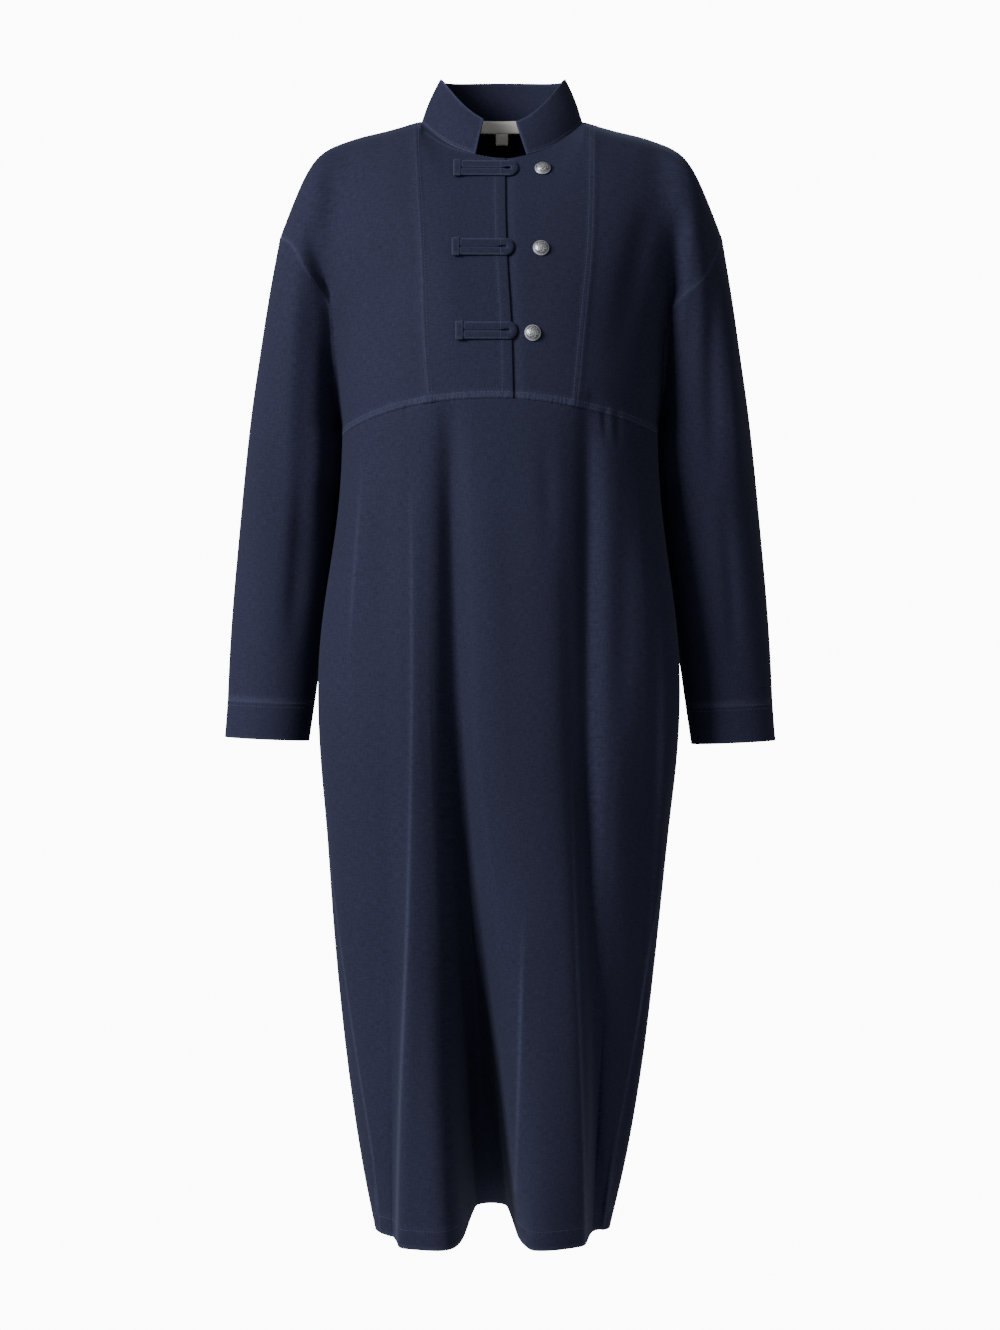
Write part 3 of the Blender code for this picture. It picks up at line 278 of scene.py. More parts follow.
BACK_FOLDS = (
    Fold((0, 4, 5, 0), 16, 16, 0, ((-118, 110), (-124, 200), (-118, 330))),
    Fold((0, 4, 4, 0), 15, 16, 0, ((112, 120), (120, 210), (116, 320))),
    Fold((0, 3, 3, 0), 22, 22, 0, ((-30, 150), (-36, 300), (-34, 470))),
    Fold((0, -3, -4, -3, 0), 20, 24, 0, ((30, 260), (34, 420), (40, 620), (44, 820))),
    Fold((0, 4, 6, 7, 7), 16, 18, 0, ((-78, 480), (-80, 640), (-84, 850), (-80, 1130))),
    Fold((0, 4, 6, 7, 7), 17, 15, 0, ((84, 520), (82, 700), (76, 900), (66, 1130))),
    Fold((0, 4, 5, 6), 18, 18, 0, ((4, 600), (2, 780), (-4, 960), (-8, 1130))),
    Fold((0, -2.5, -3, 0), 12, 14, 0, ((-206, 120), (-210, 260), (-216, 420))),
    Fold((0, -2.5, -3, 0), 13, 12, 0, ((206, 130), (212, 280), (220, 440))),
    Fold((0, 3.5, 4, 0), 10, 11, 0, ((-226, 280), (-230, 400), (-236, 540))),
    Fold((0, 3.5, 4, 0), 11, 10, 0, ((230, 300), (234, 420), (238, 550))),
)
ROUTE_STEPS, ROUTE_ROUNDS = 28, 12      # steps along a fold, and how often they are evened out
FOLD_ENDS = 3.2             # a fold has died away this many of its widths from its middle
SIDE_START, SIDE_LONG = 0.01, 0.03      # folds fade in from behind the middle plane, over this


def soft_route(fold):
    """Even steps along a fold's route, with its corners rounded, in metres."""
    corners = np.array(fold.route) * (0.001, -0.001)
    along = np.concatenate(((0,), np.cumsum(np.linalg.norm(np.diff(corners, axis=0), axis=1))))
    even = np.linspace(0, along[-1], ROUTE_STEPS + 1)
    route = np.stack([np.interp(even, along, corners[:, i]) for i in range(2)], axis=1)
    for _ in range(ROUTE_ROUNDS):
        route[1:-1] = (route[:-2] + route[1:-1] * 2 + route[2:]) / 4
    return route


def press(piece, folds, facing):
    """Press folds into whatever part of a piece faces one way: -1 the front, 1 the back."""
    points = places_of(piece)
    rubbed = wear_and_highlight_of(piece)
    low, high = points.min(0), points.max(0)
    turned = ease((facing * points[:, 1] + SIDE_START) / SIDE_LONG)
    moved = np.zeros(len(points))
    for fold in folds:
        route = soft_route(fold)
        reach = FOLD_ENDS * max(fold.left, fold.right) / 1000
        if (route.max(0) + reach < low[[0, 2]]).any() or (route.min(0) - reach > high[[0, 2]]).any():
            continue
        near = np.flatnonzero(((points[:, [0, 2]] > route.min(0) - reach)
                               & (points[:, [0, 2]] < route.max(0) + reach)).all(1))
        best = np.full(len(near), np.inf)
        share, side = np.zeros(len(near)), np.zeros(len(near))
        for k in range(ROUTE_STEPS):
            step = route[k + 1] - route[k]
            off = points[near][:, [0, 2]] - route[k]
            t = np.clip(off @ step / (step @ step), 0, 1)
            away = np.linalg.norm(off - t[:, None] * step, axis=1)
            nearer = away < best
            best[nearer] = away[nearer]
            share[nearer] = (k + t[nearer]) / ROUTE_STEPS
            side[nearer] = (step[0] * off[nearer, 1] - step[1] * off[nearer, 0])
        width = np.where(side > 0, fold.right, fold.left) / 1000
        steps = np.linspace(0, 1, len(fold.depths))
        depth = np.interp(share, steps, fold.depths) / 1000
        form = np.exp(-(best / width) ** 2)
        moved[near] += depth * form
        # painted highlight: a pale line along a fold's ridge, strongest where the ridge stands highest
        pale_share = np.interp(share, steps, np.abs(fold.depths)) / np.abs(fold.depths).max()
        pale = fold.rubbed * pale_share * np.exp(-(best / (WEAR_AND_HIGHLIGHT_MM / 1000)) ** 2)
        rubbed[near] = np.maximum(rubbed[near], pale * turned[near])
    points[:, 1] -= facing * moved * turned
    move_to(piece, points)
    set_wear_and_highlight(piece, rubbed)


def wear_and_highlight_of(piece):
    """How pale each point of a piece is, from rubbed wear at seams and painted highlight on ridges."""
    layer = piece.data.attributes.get("rubbed")
    if layer is None:
        return np.zeros(len(piece.data.vertices))
    values = np.empty(len(piece.data.vertices), np.float32)
    layer.data.foreach_get("value", values)
    return values.astype(float)


def set_wear_and_highlight(piece, values):
    """Keep how pale each point of a piece is, from rubbed wear and painted highlight."""
    layer = piece.data.attributes.get("rubbed") or piece.data.attributes.new(
        "rubbed", "FLOAT", "POINT")
    layer.data.foreach_set("value", values.astype(np.float32))


def rub_line(piece, line, amount):
    """Rub a piece pale beside a line of places, and tell how far each of its points is off."""
    tree = KDTree(len(line))
    for i, place in enumerate(line):
        tree.insert(place, i)
    tree.balance()
    away = np.array([tree.find(place)[2] for place in places_of(piece)]) * 1000
    pale = amount * np.exp(-(away / WEAR_AND_HIGHLIGHT_MM) ** 2)
    set_wear_and_highlight(piece, np.maximum(wear_and_highlight_of(piece), pale))
    return away


SOFT_EDGE = math.radians(60)            # the finer cloth's cut edges turn by more than this


def rub_edges(piece, amount, chosen=lambda place: True):
    """Rub a piece pale along its cut edges, or those that a rule picks by their place."""
    form = bmesh.new()
    form.from_mesh(piece.data)
    edge = {v.index for e in form.edges if e.calc_face_angle(0) > SOFT_EDGE
            for v in e.verts}
    form.free()
    return rub_line(piece, [place for place in places_of(piece)[sorted(edge)] if chosen(place)],
                    amount)


def lay_grain(piece, radius, middle=(0, 0)):
    """Map the weave: threads run round the body and down it, at their real size."""
    points = places_of(piece)
    corners = np.empty(len(piece.data.loops), np.int32)
    piece.data.loops.foreach_get("vertex_index", corners)
    starts = np.empty(len(piece.data.polygons), np.int32)
    piece.data.polygons.foreach_get("loop_start", starts)
    centre = (points.max(0) + points.min(0)) / 2
    x, y = points[:, 0] - middle[0], points[:, 1] - middle[1]
    way = 1 if centre[1] <= middle[1] else -1
    round_it = np.arctan2(x * way, -y * way)[corners]
    faces = np.repeat(np.arange(len(starts)), np.diff(np.append(starts, len(corners))))
    furthest = np.maximum.reduceat(round_it, starts)[faces]
    round_it += np.where(furthest - round_it > math.pi, 2 * math.pi, 0)
    grain = np.stack((round_it * radius, points[corners, 2]), axis=1)
    layer = piece.data.uv_layers.get("grain") or piece.data.uv_layers.new(name="grain")
    layer.data.foreach_set("uv", grain.astype(np.float32).ravel())
    for name in [layer.name for layer in piece.data.uv_layers if layer.name != "grain"]:
        piece.data.uv_layers.remove(piece.data.uv_layers[name])


EDGE_ROUND = 0.0005
SHADE_TO = math.radians(58)             # faces that turn by less than this are shaded as one


def soften_edges(piece):
    """Round the cut edges a little, as a turned edge is."""
    bpy.ops.object.select_all(action="DESELECT")
    bpy.context.view_layer.objects.active = piece
    piece.select_set(True)
    turning = piece.modifiers.new("turned_edge", "BEVEL")
    turning.width, turning.segments = EDGE_ROUND, 2
    turning.limit_method, turning.angle_limit = "ANGLE", SOFT_EDGE
    turning.use_clamp_overlap = True
    bpy.ops.object.modifier_apply(modifier=turning.name)
    bpy.ops.object.shade_smooth_by_angle(angle=SHADE_TO)


def hang(piece, node, cloth=twill):
    """Give a finished panel its material, hang it from the root body and hide the solid it stands for.
    """
    piece.data.materials.clear()
    piece.data.materials.append(cloth)
    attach(piece, "root")
    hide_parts(node)


# One stitch is modelled once: a short spindle of cotton whose ends dip into the cloth.
STITCH_MM, STITCH_STEP_MM, COTTON_MM = 2.5, 3.3, 0.55   # length, spacing and thickness
STITCH_AIM = 0.0008         # it points from the place this far behind it to the one before it
cotton, _, _ = new_material("navy_sewing_cotton", Base_Color=linear("#3c405c"), Roughness=0.75,
                            Specular_IOR_Level=0.25, Sheen_Weight=0.2)

bpy.ops.object.select_all(action="DESELECT")
bpy.ops.mesh.primitive_uv_sphere_add(segments=6, ring_count=4, radius=0.5)
one_stitch = bpy.context.object
bpy.ops.object.mode_set(mode="EDIT")
bpy.ops.mesh.select_all(action="SELECT")
bpy.ops.transform.rotate(value=math.pi / 2, orient_axis="Y", center_override=(0, 0, 0))
bpy.ops.transform.resize(value=(STITCH_MM / 1000, COTTON_MM / 1000, COTTON_MM / 1000))
bpy.ops.object.mode_set(mode="OBJECT")
stitch_form = places_of(one_stitch)
stitch_form[:, 2] -= COTTON_MM / 2000 * (stitch_form[:, 0] / (STITCH_MM / 2000)) ** 4
stitch_faces = np.array([list(p.vertices) + [p.vertices[-1]] * (4 - len(p.vertices))
                         for p in one_stitch.data.polygons])
bpy.data.objects.remove(one_stitch, do_unlink=True)


EDGE_STEP = 0.0015          # how finely an edge is followed,
EDGE_NEAR, EDGE_ROUNDS = 1.7, 4         # from how many steps round a place, and how smoothly
SIGHT_START, SIGHT_AWAY = -0.4, 0.3     # where lines of sight start: in front, or round an axis


def edge_of(keys, values, furthest, inset=0.003):
    """Even places along a piece, and where its edge runs there: the furthest of its points
    near each place, made smooth."""
    at = np.arange(keys.min() + inset, keys.max() - inset, EDGE_STEP)
    found = []
    for place in at:
        near = values[np.abs(keys - place) < EDGE_NEAR * EDGE_STEP]
        found.append(furthest(near) if len(near) else found[-1])
    found = np.array(found)
    for _ in range(EDGE_ROUNDS):
        found[1:-1] = (found[:-2] + found[1:-1] * 2 + found[2:]) / 4
    return at, found


def from_front(across, up):
    """Lines of sight from the front, at places across and up."""
    return [((x, SIGHT_START, z), (0, 1, 0)) for x, z in zip(across, up)]


def from_round(middle, angles, up):
    """Lines of sight towards an upright axis. An angle of 0 is its front, a right angle its
    right side."""
    return [((middle[0] + SIGHT_AWAY * math.sin(a), middle[1] - SIGHT_AWAY * math.cos(a), z),
             (-math.sin(a), math.cos(a), 0)) for a, z in zip(angles, up)]


def seen_on(piece, sights):
    """The places where lines of sight meet a piece, and which way its cloth faces there."""
    tree = BVHTree.FromObject(piece, bpy.context.evaluated_depsgraph_get())
    met = [tree.ray_cast(Vector(start), Vector(way))[:2] for start, way in sights]
    met = [hit for hit in met if hit[0] is not None]
    return np.array([hit[0] for hit in met]), np.array([hit[1] for hit in met])


def sew(name, piece, *rows, step=STITCH_STEP_MM, thread=cotton, slot="navy_twill"):
    """Lay stitches on a piece along rows of lines of sight."""
    corners, faces = [], []
    for row in rows:
        line, facing = seen_on(piece, row)
        run = np.concatenate(((0,), np.cumsum(np.linalg.norm(np.diff(line, axis=0), axis=1))))
        at = np.arange(step / 2000, run[-1], step / 1000)
        here, ahead = (np.stack([np.interp(at + off, run, line[:, i]) for i in range(3)], axis=1)
                       for off in (-STITCH_AIM, STITCH_AIM))
        up = np.stack([np.interp(at, run, facing[:, i]) for i in range(3)], axis=1)
        up /= np.linalg.norm(up, axis=1, keepdims=True)
        along = ahead - here
        along -= up * (along * up).sum(1, keepdims=True)
        along /= np.linalg.norm(along, axis=1, keepdims=True) + 1e-12
        beside = np.cross(up, along)
        for place, axes in zip((here + ahead) / 2, np.stack((along, beside, up), axis=1)):
            faces.append(stitch_faces + len(corners) * len(stitch_form))
            corners.append(place + stitch_form @ axes)
    mesh = bpy.data.meshes.new(name)
    mesh.from_pydata(np.concatenate(corners).tolist(), [],
                     [face[:3] if face[2] == face[3] else face
                      for face in np.concatenate(faces).tolist()])
    mesh.shade_smooth()
    mesh.materials.append(thread)
    stitches = bpy.data.objects.new(name, mesh)
    bpy.context.scene.collection.objects.link(stitches)
    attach(stitches, "root")


BODY_ROUND = 0.15           # mean radius of the body, for the weave's size
EDGE_RUB, SEWN_RUB = 0.3, 0.28          # how rubbed an edge is, and the line under stitches
HEM_EDGE = -1.1             # only the hem's edge is lower than this,
SIDE_EDGE = (0.1, -0.5)     # and only the side seams are further out and lower than this


def at_hem_or_side(place):
    """Whether a place on an edge is at the hem or at a side seam."""
    return place[2] < HEM_EDGE or (abs(place[0]) > SIDE_EDGE[0] and place[2] < SIDE_EDGE[1])


skirt_front = cut_cloth("skirt_front", 3)
press(skirt_front, FRONT_FOLDS, -1)
lay_grain(skirt_front, BODY_ROUND)
rub_edges(skirt_front, EDGE_RUB, at_hem_or_side)

# The hem is turned up and sewn down with one row.
HEM_UP, HEM_TOP = 0.019, -1.07          # the row's height above the edge, all of it below this
low_points = places_of(skirt_front)
low_points = low_points[low_points[:, 2] < HEM_TOP]
across, hem = edge_of(low_points[:, 0], low_points[:, 2], np.min)
front_hem = from_front(across, hem + HEM_UP)
rub_line(skirt_front, seen_on(skirt_front, front_hem)[0], SEWN_RUB)
soften_edges(skirt_front)
hang(skirt_front, "skirt_front")
sew("front_hem_stitches", skirt_front, front_hem)

# The back
# One panel from the shoulders to the hem. It has no seam down its middle, and it swings out
# below the shoulder blades into soft waves.
back = cut_cloth("back", 2)
press(back, BACK_FOLDS, 1)
press(back, FRONT_FOLDS, -1)
lay_grain(back, BODY_ROUND)
rub_edges(back, EDGE_RUB)
low_points = places_of(back)
low_points = low_points[low_points[:, 2] < HEM_TOP]
round_it = np.arctan2(low_points[:, 0], -low_points[:, 1]) % (2 * math.pi) * BODY_ROUND
round_it, hem = edge_of(round_it, low_points[:, 2], np.min)
back_hem = from_round((0, 0), round_it / BODY_ROUND, hem + HEM_UP)
rub_line(back, seen_on(back, back_hem)[0], SEWN_RUB)
soften_edges(back)
hang(back, "back")
sew("back_hem_stitches", back, back_hem)

# The bodice
# Two centre fronts and two side fronts, joined by long flat-felled seams. The centre fronts
# overlap at the open slit. Their lower edge is gathered a little into the under-bust seam
# and stitched down twice, which draws it into small puckers.
PUCKER_MM, PUCKER_DEEP, PUCKER_HIGH = 4.2, 0.28, 9    # from one to the next, and how large
PUCKER_DRIFTS = (0.31, 1.3, 0), (0.13, 2, 1)          # pace, reach and start of their drift
PUCKER_OUT = 0.6            # the whole band stands out by this share of a pucker
SEAM_ROLL, SEAM_WIDE = 0.9, 3.2         # millimetres that a felled seam stands up, and is wide
ROLL_AT = 1.5               # the roll's middle, so far from a front seam
YOKE_DROP, YOKE_SAG, YOKE_SIDE = 295.5, 28, 160.5     # the under-bust seam dips at its ends
YOKE_POWERS = 2.4, 1.7                                # on the left and on the right
YOKE_LEVEL = 84                                       # and is nearly level as far out as this
YOKE_RUBS = 0.34, 0.22      # how rubbed its level part and its ends are,
YOKE_RUB_AT, YOKE_RUB_WIDE, PUCKER_RUB = 4.0, 3.2, 0.25     # where, and how much by puckers
FRONT_SEAM_RUB, PLACKET_RUB, ARMHOLE_RUB = 0.17, 0.13, 0.2
ARMHOLE_FOOT = -0.29        # metres: a side front's edges higher than this are the armhole's
YOKE_ROWS, FRONT_SEAM_ROW = (2.2, 6.4), 1.8           # how far from the seams the stitches are
YOKE_NEAR, ROW_INSET, ROW_STEP = 14, 2.5, 1.5         # how the rows at the under-bust seam run
SEAM_ROW_END, PLACKET_END = 0.006, 0.008              # metres left free at the other rows' ends
PLACKET_WIDE = 0.010


def yoke_drop(x):
    """How far down the under-bust seam lies, in millimetres, at a place across."""
    out = np.minimum(np.abs(x), YOKE_SIDE) / YOKE_SIDE
    return YOKE_DROP + YOKE_SAG * out ** np.where(x < 0, *YOKE_POWERS)


def pucker(piece):
    """Draw the cloth above the under-bust seam into puckers, and roll its edge over."""
    points = places_of(piece) * 1000
    above = points[:, 2] + yoke_drop(points[:, 0])
    uneven = sum(reach * np.sin(points[:, 0] * pace + start)
                 for pace, reach, start in PUCKER_DRIFTS)
    wave = np.sin(2 * math.pi * (points[:, 0] + uneven) / PUCKER_MM)
    near = ease(1 - above / PUCKER_HIGH)
    roll = SEAM_ROLL * np.exp(-((above - SEAM_WIDE) / SEAM_WIDE) ** 2)
    points[:, 1] -= PUCKER_DEEP * near * (wave + PUCKER_OUT) + roll
    move_to(piece, points / 1000)
    pale_share = np.where(np.abs(points[:, 0]) < YOKE_LEVEL, *YOKE_RUBS)
    pale_share *= 1 - PUCKER_RUB * (1 - wave)
    pale = pale_share * np.exp(-((above - YOKE_RUB_AT) / YOKE_RUB_WIDE) ** 2)
    set_wear_and_highlight(piece, np.maximum(wear_and_highlight_of(piece), pale))


def beside(node, reach=0.0025):
    """A rule that picks places near another solid."""
    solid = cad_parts[node].data
    tree = BVHTree.FromPolygons([v.co for v in solid.vertices],
                                [tuple(p.vertices) for p in solid.polygons])
    return lambda place: tree.find_nearest(Vector(place), reach)[0] is not None


def roll_seam(piece, node_beside):
    """Raise the edge that meets the panel beside it."""
    away = rub_edges(piece, FRONT_SEAM_RUB, beside(node_beside))
    points = places_of(piece)
    points[:, 1] -= SEAM_ROLL / 1000 * np.exp(-((away - ROLL_AT) / SEAM_WIDE) ** 2)
    move_to(piece, points)


def seam_row(piece, node_beside):
    """A row up a front seam, just inside the edge that meets another panel."""
    places = places_of(piece)
    chosen = beside(node_beside)
    edge = np.array([place for place in places if chosen(place) and place[1] < 0])
    inward = np.sign(np.median(places[:, 0]) - np.median(edge[:, 0]))
    up, across = edge_of(edge[:, 2], edge[:, 0] * inward, np.max, SEAM_ROW_END)
    return from_front(inward * (across + FRONT_SEAM_ROW / 1000), up)


def yoke_rows(piece):
    """The two rows just above the under-bust seam."""
    places = places_of(piece) * 1000
    low = places[(places[:, 2] + yoke_drop(places[:, 0]) < YOKE_NEAR) & (places[:, 1] < -10)]
    across = np.arange(low[:, 0].min() + ROW_INSET, low[:, 0].max() - ROW_INSET, ROW_STEP)
    return [from_front(across / 1000, (off - yoke_drop(across)) / 1000) for off in YOKE_ROWS]


for side in ("left", "right"):
    centre = cut_cloth(f"front_centre_{side}", 3)
    press(centre, FRONT_FOLDS, -1)
    lay_grain(centre, BODY_ROUND)
    roll_seam(centre, f"front_side_{side}")
    pucker(centre)
    rows = [seam_row(centre, f"front_side_{side}"), *yoke_rows(centre)]
    if side == "left":
        places = places_of(centre)
        up, slit = edge_of(places[:, 2], places[:, 0], np.max, PLACKET_END)
        placket = from_front(slit - PLACKET_WIDE, up)
        rub_line(centre, seen_on(centre, placket)[0], PLACKET_RUB)
        rows.append(placket)
    soften_edges(centre)
    hang(centre, f"front_centre_{side}")
    sew(f"front_centre_{side}_stitches", centre, *rows)

    outer = cut_cloth(f"front_side_{side}", 3)
    press(outer, FRONT_FOLDS, -1)
    lay_grain(outer, BODY_ROUND)
    roll_seam(outer, f"front_centre_{side}")
    pucker(outer)
    rub_edges(outer, ARMHOLE_RUB, lambda place: place[2] > ARMHOLE_FOOT)
    rows = yoke_rows(outer)
    soften_edges(outer)
    hang(outer, f"front_side_{side}")
    sew(f"front_side_{side}_stitches", outer, *rows)

# The sleeves and their cuffs
# Each sleeve is one tube, dropped off the shoulder and set into a felled armhole seam. It
# ends in a plain straight cuff of two layers. Below the underarm its spare cloth bunches
# against the side of the dress.
SLEEVE_ROUND, SLEEVE_OUT, SLEEVE_BACK = 0.05, 0.214, 0.01   # its mean radius, and its middle
CUFF_ROWS = 0.0018, 0.006               # how far below the cuff's top the stitches are
BUNCH_HEIGHT, BUNCH_LONG, BUNCH_OUT = -0.342, 0.026, 0.0075
BUNCH_FROM, BUNCH_FADE = 0.196, 0.03    # it grows from this far out, inwards over this


def bunch(sleeve, sign):
    """Swell the inner side of a sleeve just below the underarm."""
    points = places_of(sleeve)
    reach = ease((BUNCH_FROM - sign * points[:, 0]) / BUNCH_FADE)
    swell = np.exp(-((points[:, 2] - BUNCH_HEIGHT) / BUNCH_LONG) ** 4) * reach
    points[:, 0] -= sign * BUNCH_OUT * swell
    move_to(sleeve, points)


for side, sign in (("left", -1), ("right", 1)):
    sleeve = cut_cloth(f"sleeve_{side}", 3)
    bunch(sleeve, sign)
    press(sleeve, FRONT_FOLDS, -1)
    press(sleeve, BACK_FOLDS, 1)
    lay_grain(sleeve, SLEEVE_ROUND, (sign * SLEEVE_OUT, SLEEVE_BACK))
    rub_edges(sleeve, EDGE_RUB)
    soften_edges(sleeve)
    hang(sleeve, f"sleeve_{side}")

    cuff = cut_cloth(f"cuff_{side}", 3)
    middle = (places_of(cuff).max(0) + places_of(cuff).min(0))[:2] / 2
    lay_grain(cuff, SLEEVE_ROUND, middle)
    rub_edges(cuff, EDGE_RUB)
    places = places_of(cuff)
    round_it = np.arctan2(places[:, 0] - middle[0], middle[1] - places[:, 1]) * SLEEVE_ROUND
    round_it, top = edge_of(round_it, places[:, 2], np.max, 0)
    rows = [from_round(middle, round_it / SLEEVE_ROUND, top - off) for off in CUFF_ROWS]
    soften_edges(cuff)
    hang(cuff, f"cuff_{side}")
    sew(f"cuff_{side}_stitches", cuff, *rows)

# The collar
# A stand of two layers, cut slanting at its front ends and stitched along its edges.
NECK_ROUND, NECK_MIDDLE = 0.075, (0.002, 0)
COLLAR_RUB, COLLAR_ROW_END = 0.4, 0.002
TOP_ROW, FOOT_ROWS = 0.002, (0.002, 0.005)            # how far from its edges the stitches are

collar = cut_cloth("collar", 3)
lay_grain(collar, NECK_ROUND, NECK_MIDDLE)
rub_edges(collar, COLLAR_RUB)
places = places_of(collar)
round_it = np.arctan2(places[:, 0] - NECK_MIDDLE[0], -places[:, 1]) % (2 * math.pi) * NECK_ROUND
at, top = edge_of(round_it, places[:, 2], np.max, COLLAR_ROW_END)
_, foot = edge_of(round_it, places[:, 2], np.min, COLLAR_ROW_END)
rows = [from_round(NECK_MIDDLE, at / NECK_ROUND, row)
        for row in (top - TOP_ROW, *(foot + off for off in FOOT_ROWS))]
soften_edges(collar)
hang(collar, "collar")
sew("collar_stitches", collar, *rows)

# The label and the size tab
# A cream woven tape sewn inside the back of the collar by its ends, with the loop of the
# size tab under it. Its maker's words are left off.
LABELS = (("neck_label", (0.046, 0.0135), 0.0006), ("size_tab", (0.0124, 0.0118), 0.00014))
END_ROW, END_STEPS, ROW_MARGIN = 0.0022, 9, 0.001

tape, tape_tree, tape_shader = new_material("cream_cotton_tape", Roughness=0.7,
                                            Specular_IOR_Level=0.3, Sheen_Weight=0.2)
ribs = add_node(tape_tree, "TexWave", {"Scale": 320.0, "Distortion": 0.4},
                {"Vector": add_node(tape_tree, "TexCoord", {}).outputs["Object"]})
tape_tint = add_node(tape_tree, "Mix", {"data_type": "RGBA", 6: linear("#efece2"),
                                        7: linear("#fbfaf5")}, {0: ribs.outputs["Fac"]})
tape_tree.links.new(tape_tint.outputs[2], tape_shader.inputs["Base Color"])
cream_cotton, _, _ = new_material("cream_sewing_cotton", Base_Color=linear("#aaa596"),
                                  Roughness=0.8)

for node, flat, area in LABELS:
    label = cut_cloth(node, 3)
    lay_grain(label, NECK_ROUND)
    low, high = places_of(label).min(0), places_of(label).max(0)
    up = np.linspace(low[2] + ROW_MARGIN, high[2] - ROW_MARGIN, END_STEPS)
    ends = [from_front(np.full(END_STEPS, x), up) for x in (low[0] + END_ROW, high[0] - END_ROW)]
    hang(label, node, tape)
    if node == "neck_label":
        sew("neck_label_stitches", label, *ends, thread=cream_cotton, slot="cream_tape")

# The button loops
# Each is one flat folded strap of the same twill, sewn to the left front in two legs under a
# folded band, with a bar of stitches where it leaves the front. Its round end is the eye.
# All of it is in millimetres until it is laid on the chest.
LOOPS = (("loop_1", -46.2, 17.9, 61.5), ("loop_2", -47, 13.7, 145.6),
         ("loop_3", -43.2, 16.8, 229.5))                # left end, tip and drop from the neck
STRAP_CORNERS, LEG_STEPS, EYE_STEPS = 16, 24, 16
LEG_OFF, LEG_HALF, LEG_HIGH, LEG_START = 4.4, 4.2, 1.5, 2
EYE_OFF, EYE_HALF, EYE_FADE = 5.2, 3.6, 9               # the legs' measures, as they are there
BAND_LONG, BAND_WIDE, BAND_HIGH, BAND_ROUND = 7.5, 18.4, 3.7, 0.9
STRAP_RUB, STRAP_RUB_WIDE = 0.45, 0.8
BAND_RUB, BAND_RUB_WIDE = 0.5, 0.9
BAR_PLACE, BAR_OFF, BAR_HALF, BAR_STEPS = 0.5, 1.2, 3.4, 8
RUN_OFF, RUN_START, RUN_STEPS, STRAP_STITCH = 2.9, 2, 30, 2.2
FORM_STEPS, FORM_ROWS = 24, (-9, -5, 0, 5, 9)           # where the chest is felt for its form
FORM_SHARE, FORM_MOST = 0.04, -0.0012   # it is moved out over all but this share, at most so far
STRAP_LIFT = 0.25


def bent_terms(x, z):
    """The terms of a form that bends both ways, a column for each."""
    return np.stack((np.ones_like(x), x, z, x * x, x * z, z * z), axis=1)


def chest_form(left, right, drop):
    """A smooth form fitted to the fronts under a loop, lying on top of them."""
    grid = [(x, -drop + up) for x in np.linspace(left, right, FORM_STEPS) for up in FORM_ROWS]
    sights = from_front(*(np.array(grid) / 1000).T)
    found = []
    for node in ("front_centre_left", "front_centre_right"):
        tree = BVHTree.FromObject(bpy.data.objects[node + "_cloth"],
                                  bpy.context.evaluated_depsgraph_get())
        found += [hit for hit, *_ in (tree.ray_cast(Vector(a), Vector(b)) for a, b in sights)
                  if hit is not None and hit.y < 0]
    found = np.array(found)
    terms = bent_terms(found[:, 0], found[:, 2])
    form = np.linalg.lstsq(terms, found[:, 1], rcond=None)[0]
    form[0] += max(np.quantile(found[:, 1] - terms @ form, FORM_SHARE), FORM_MOST)
    return form


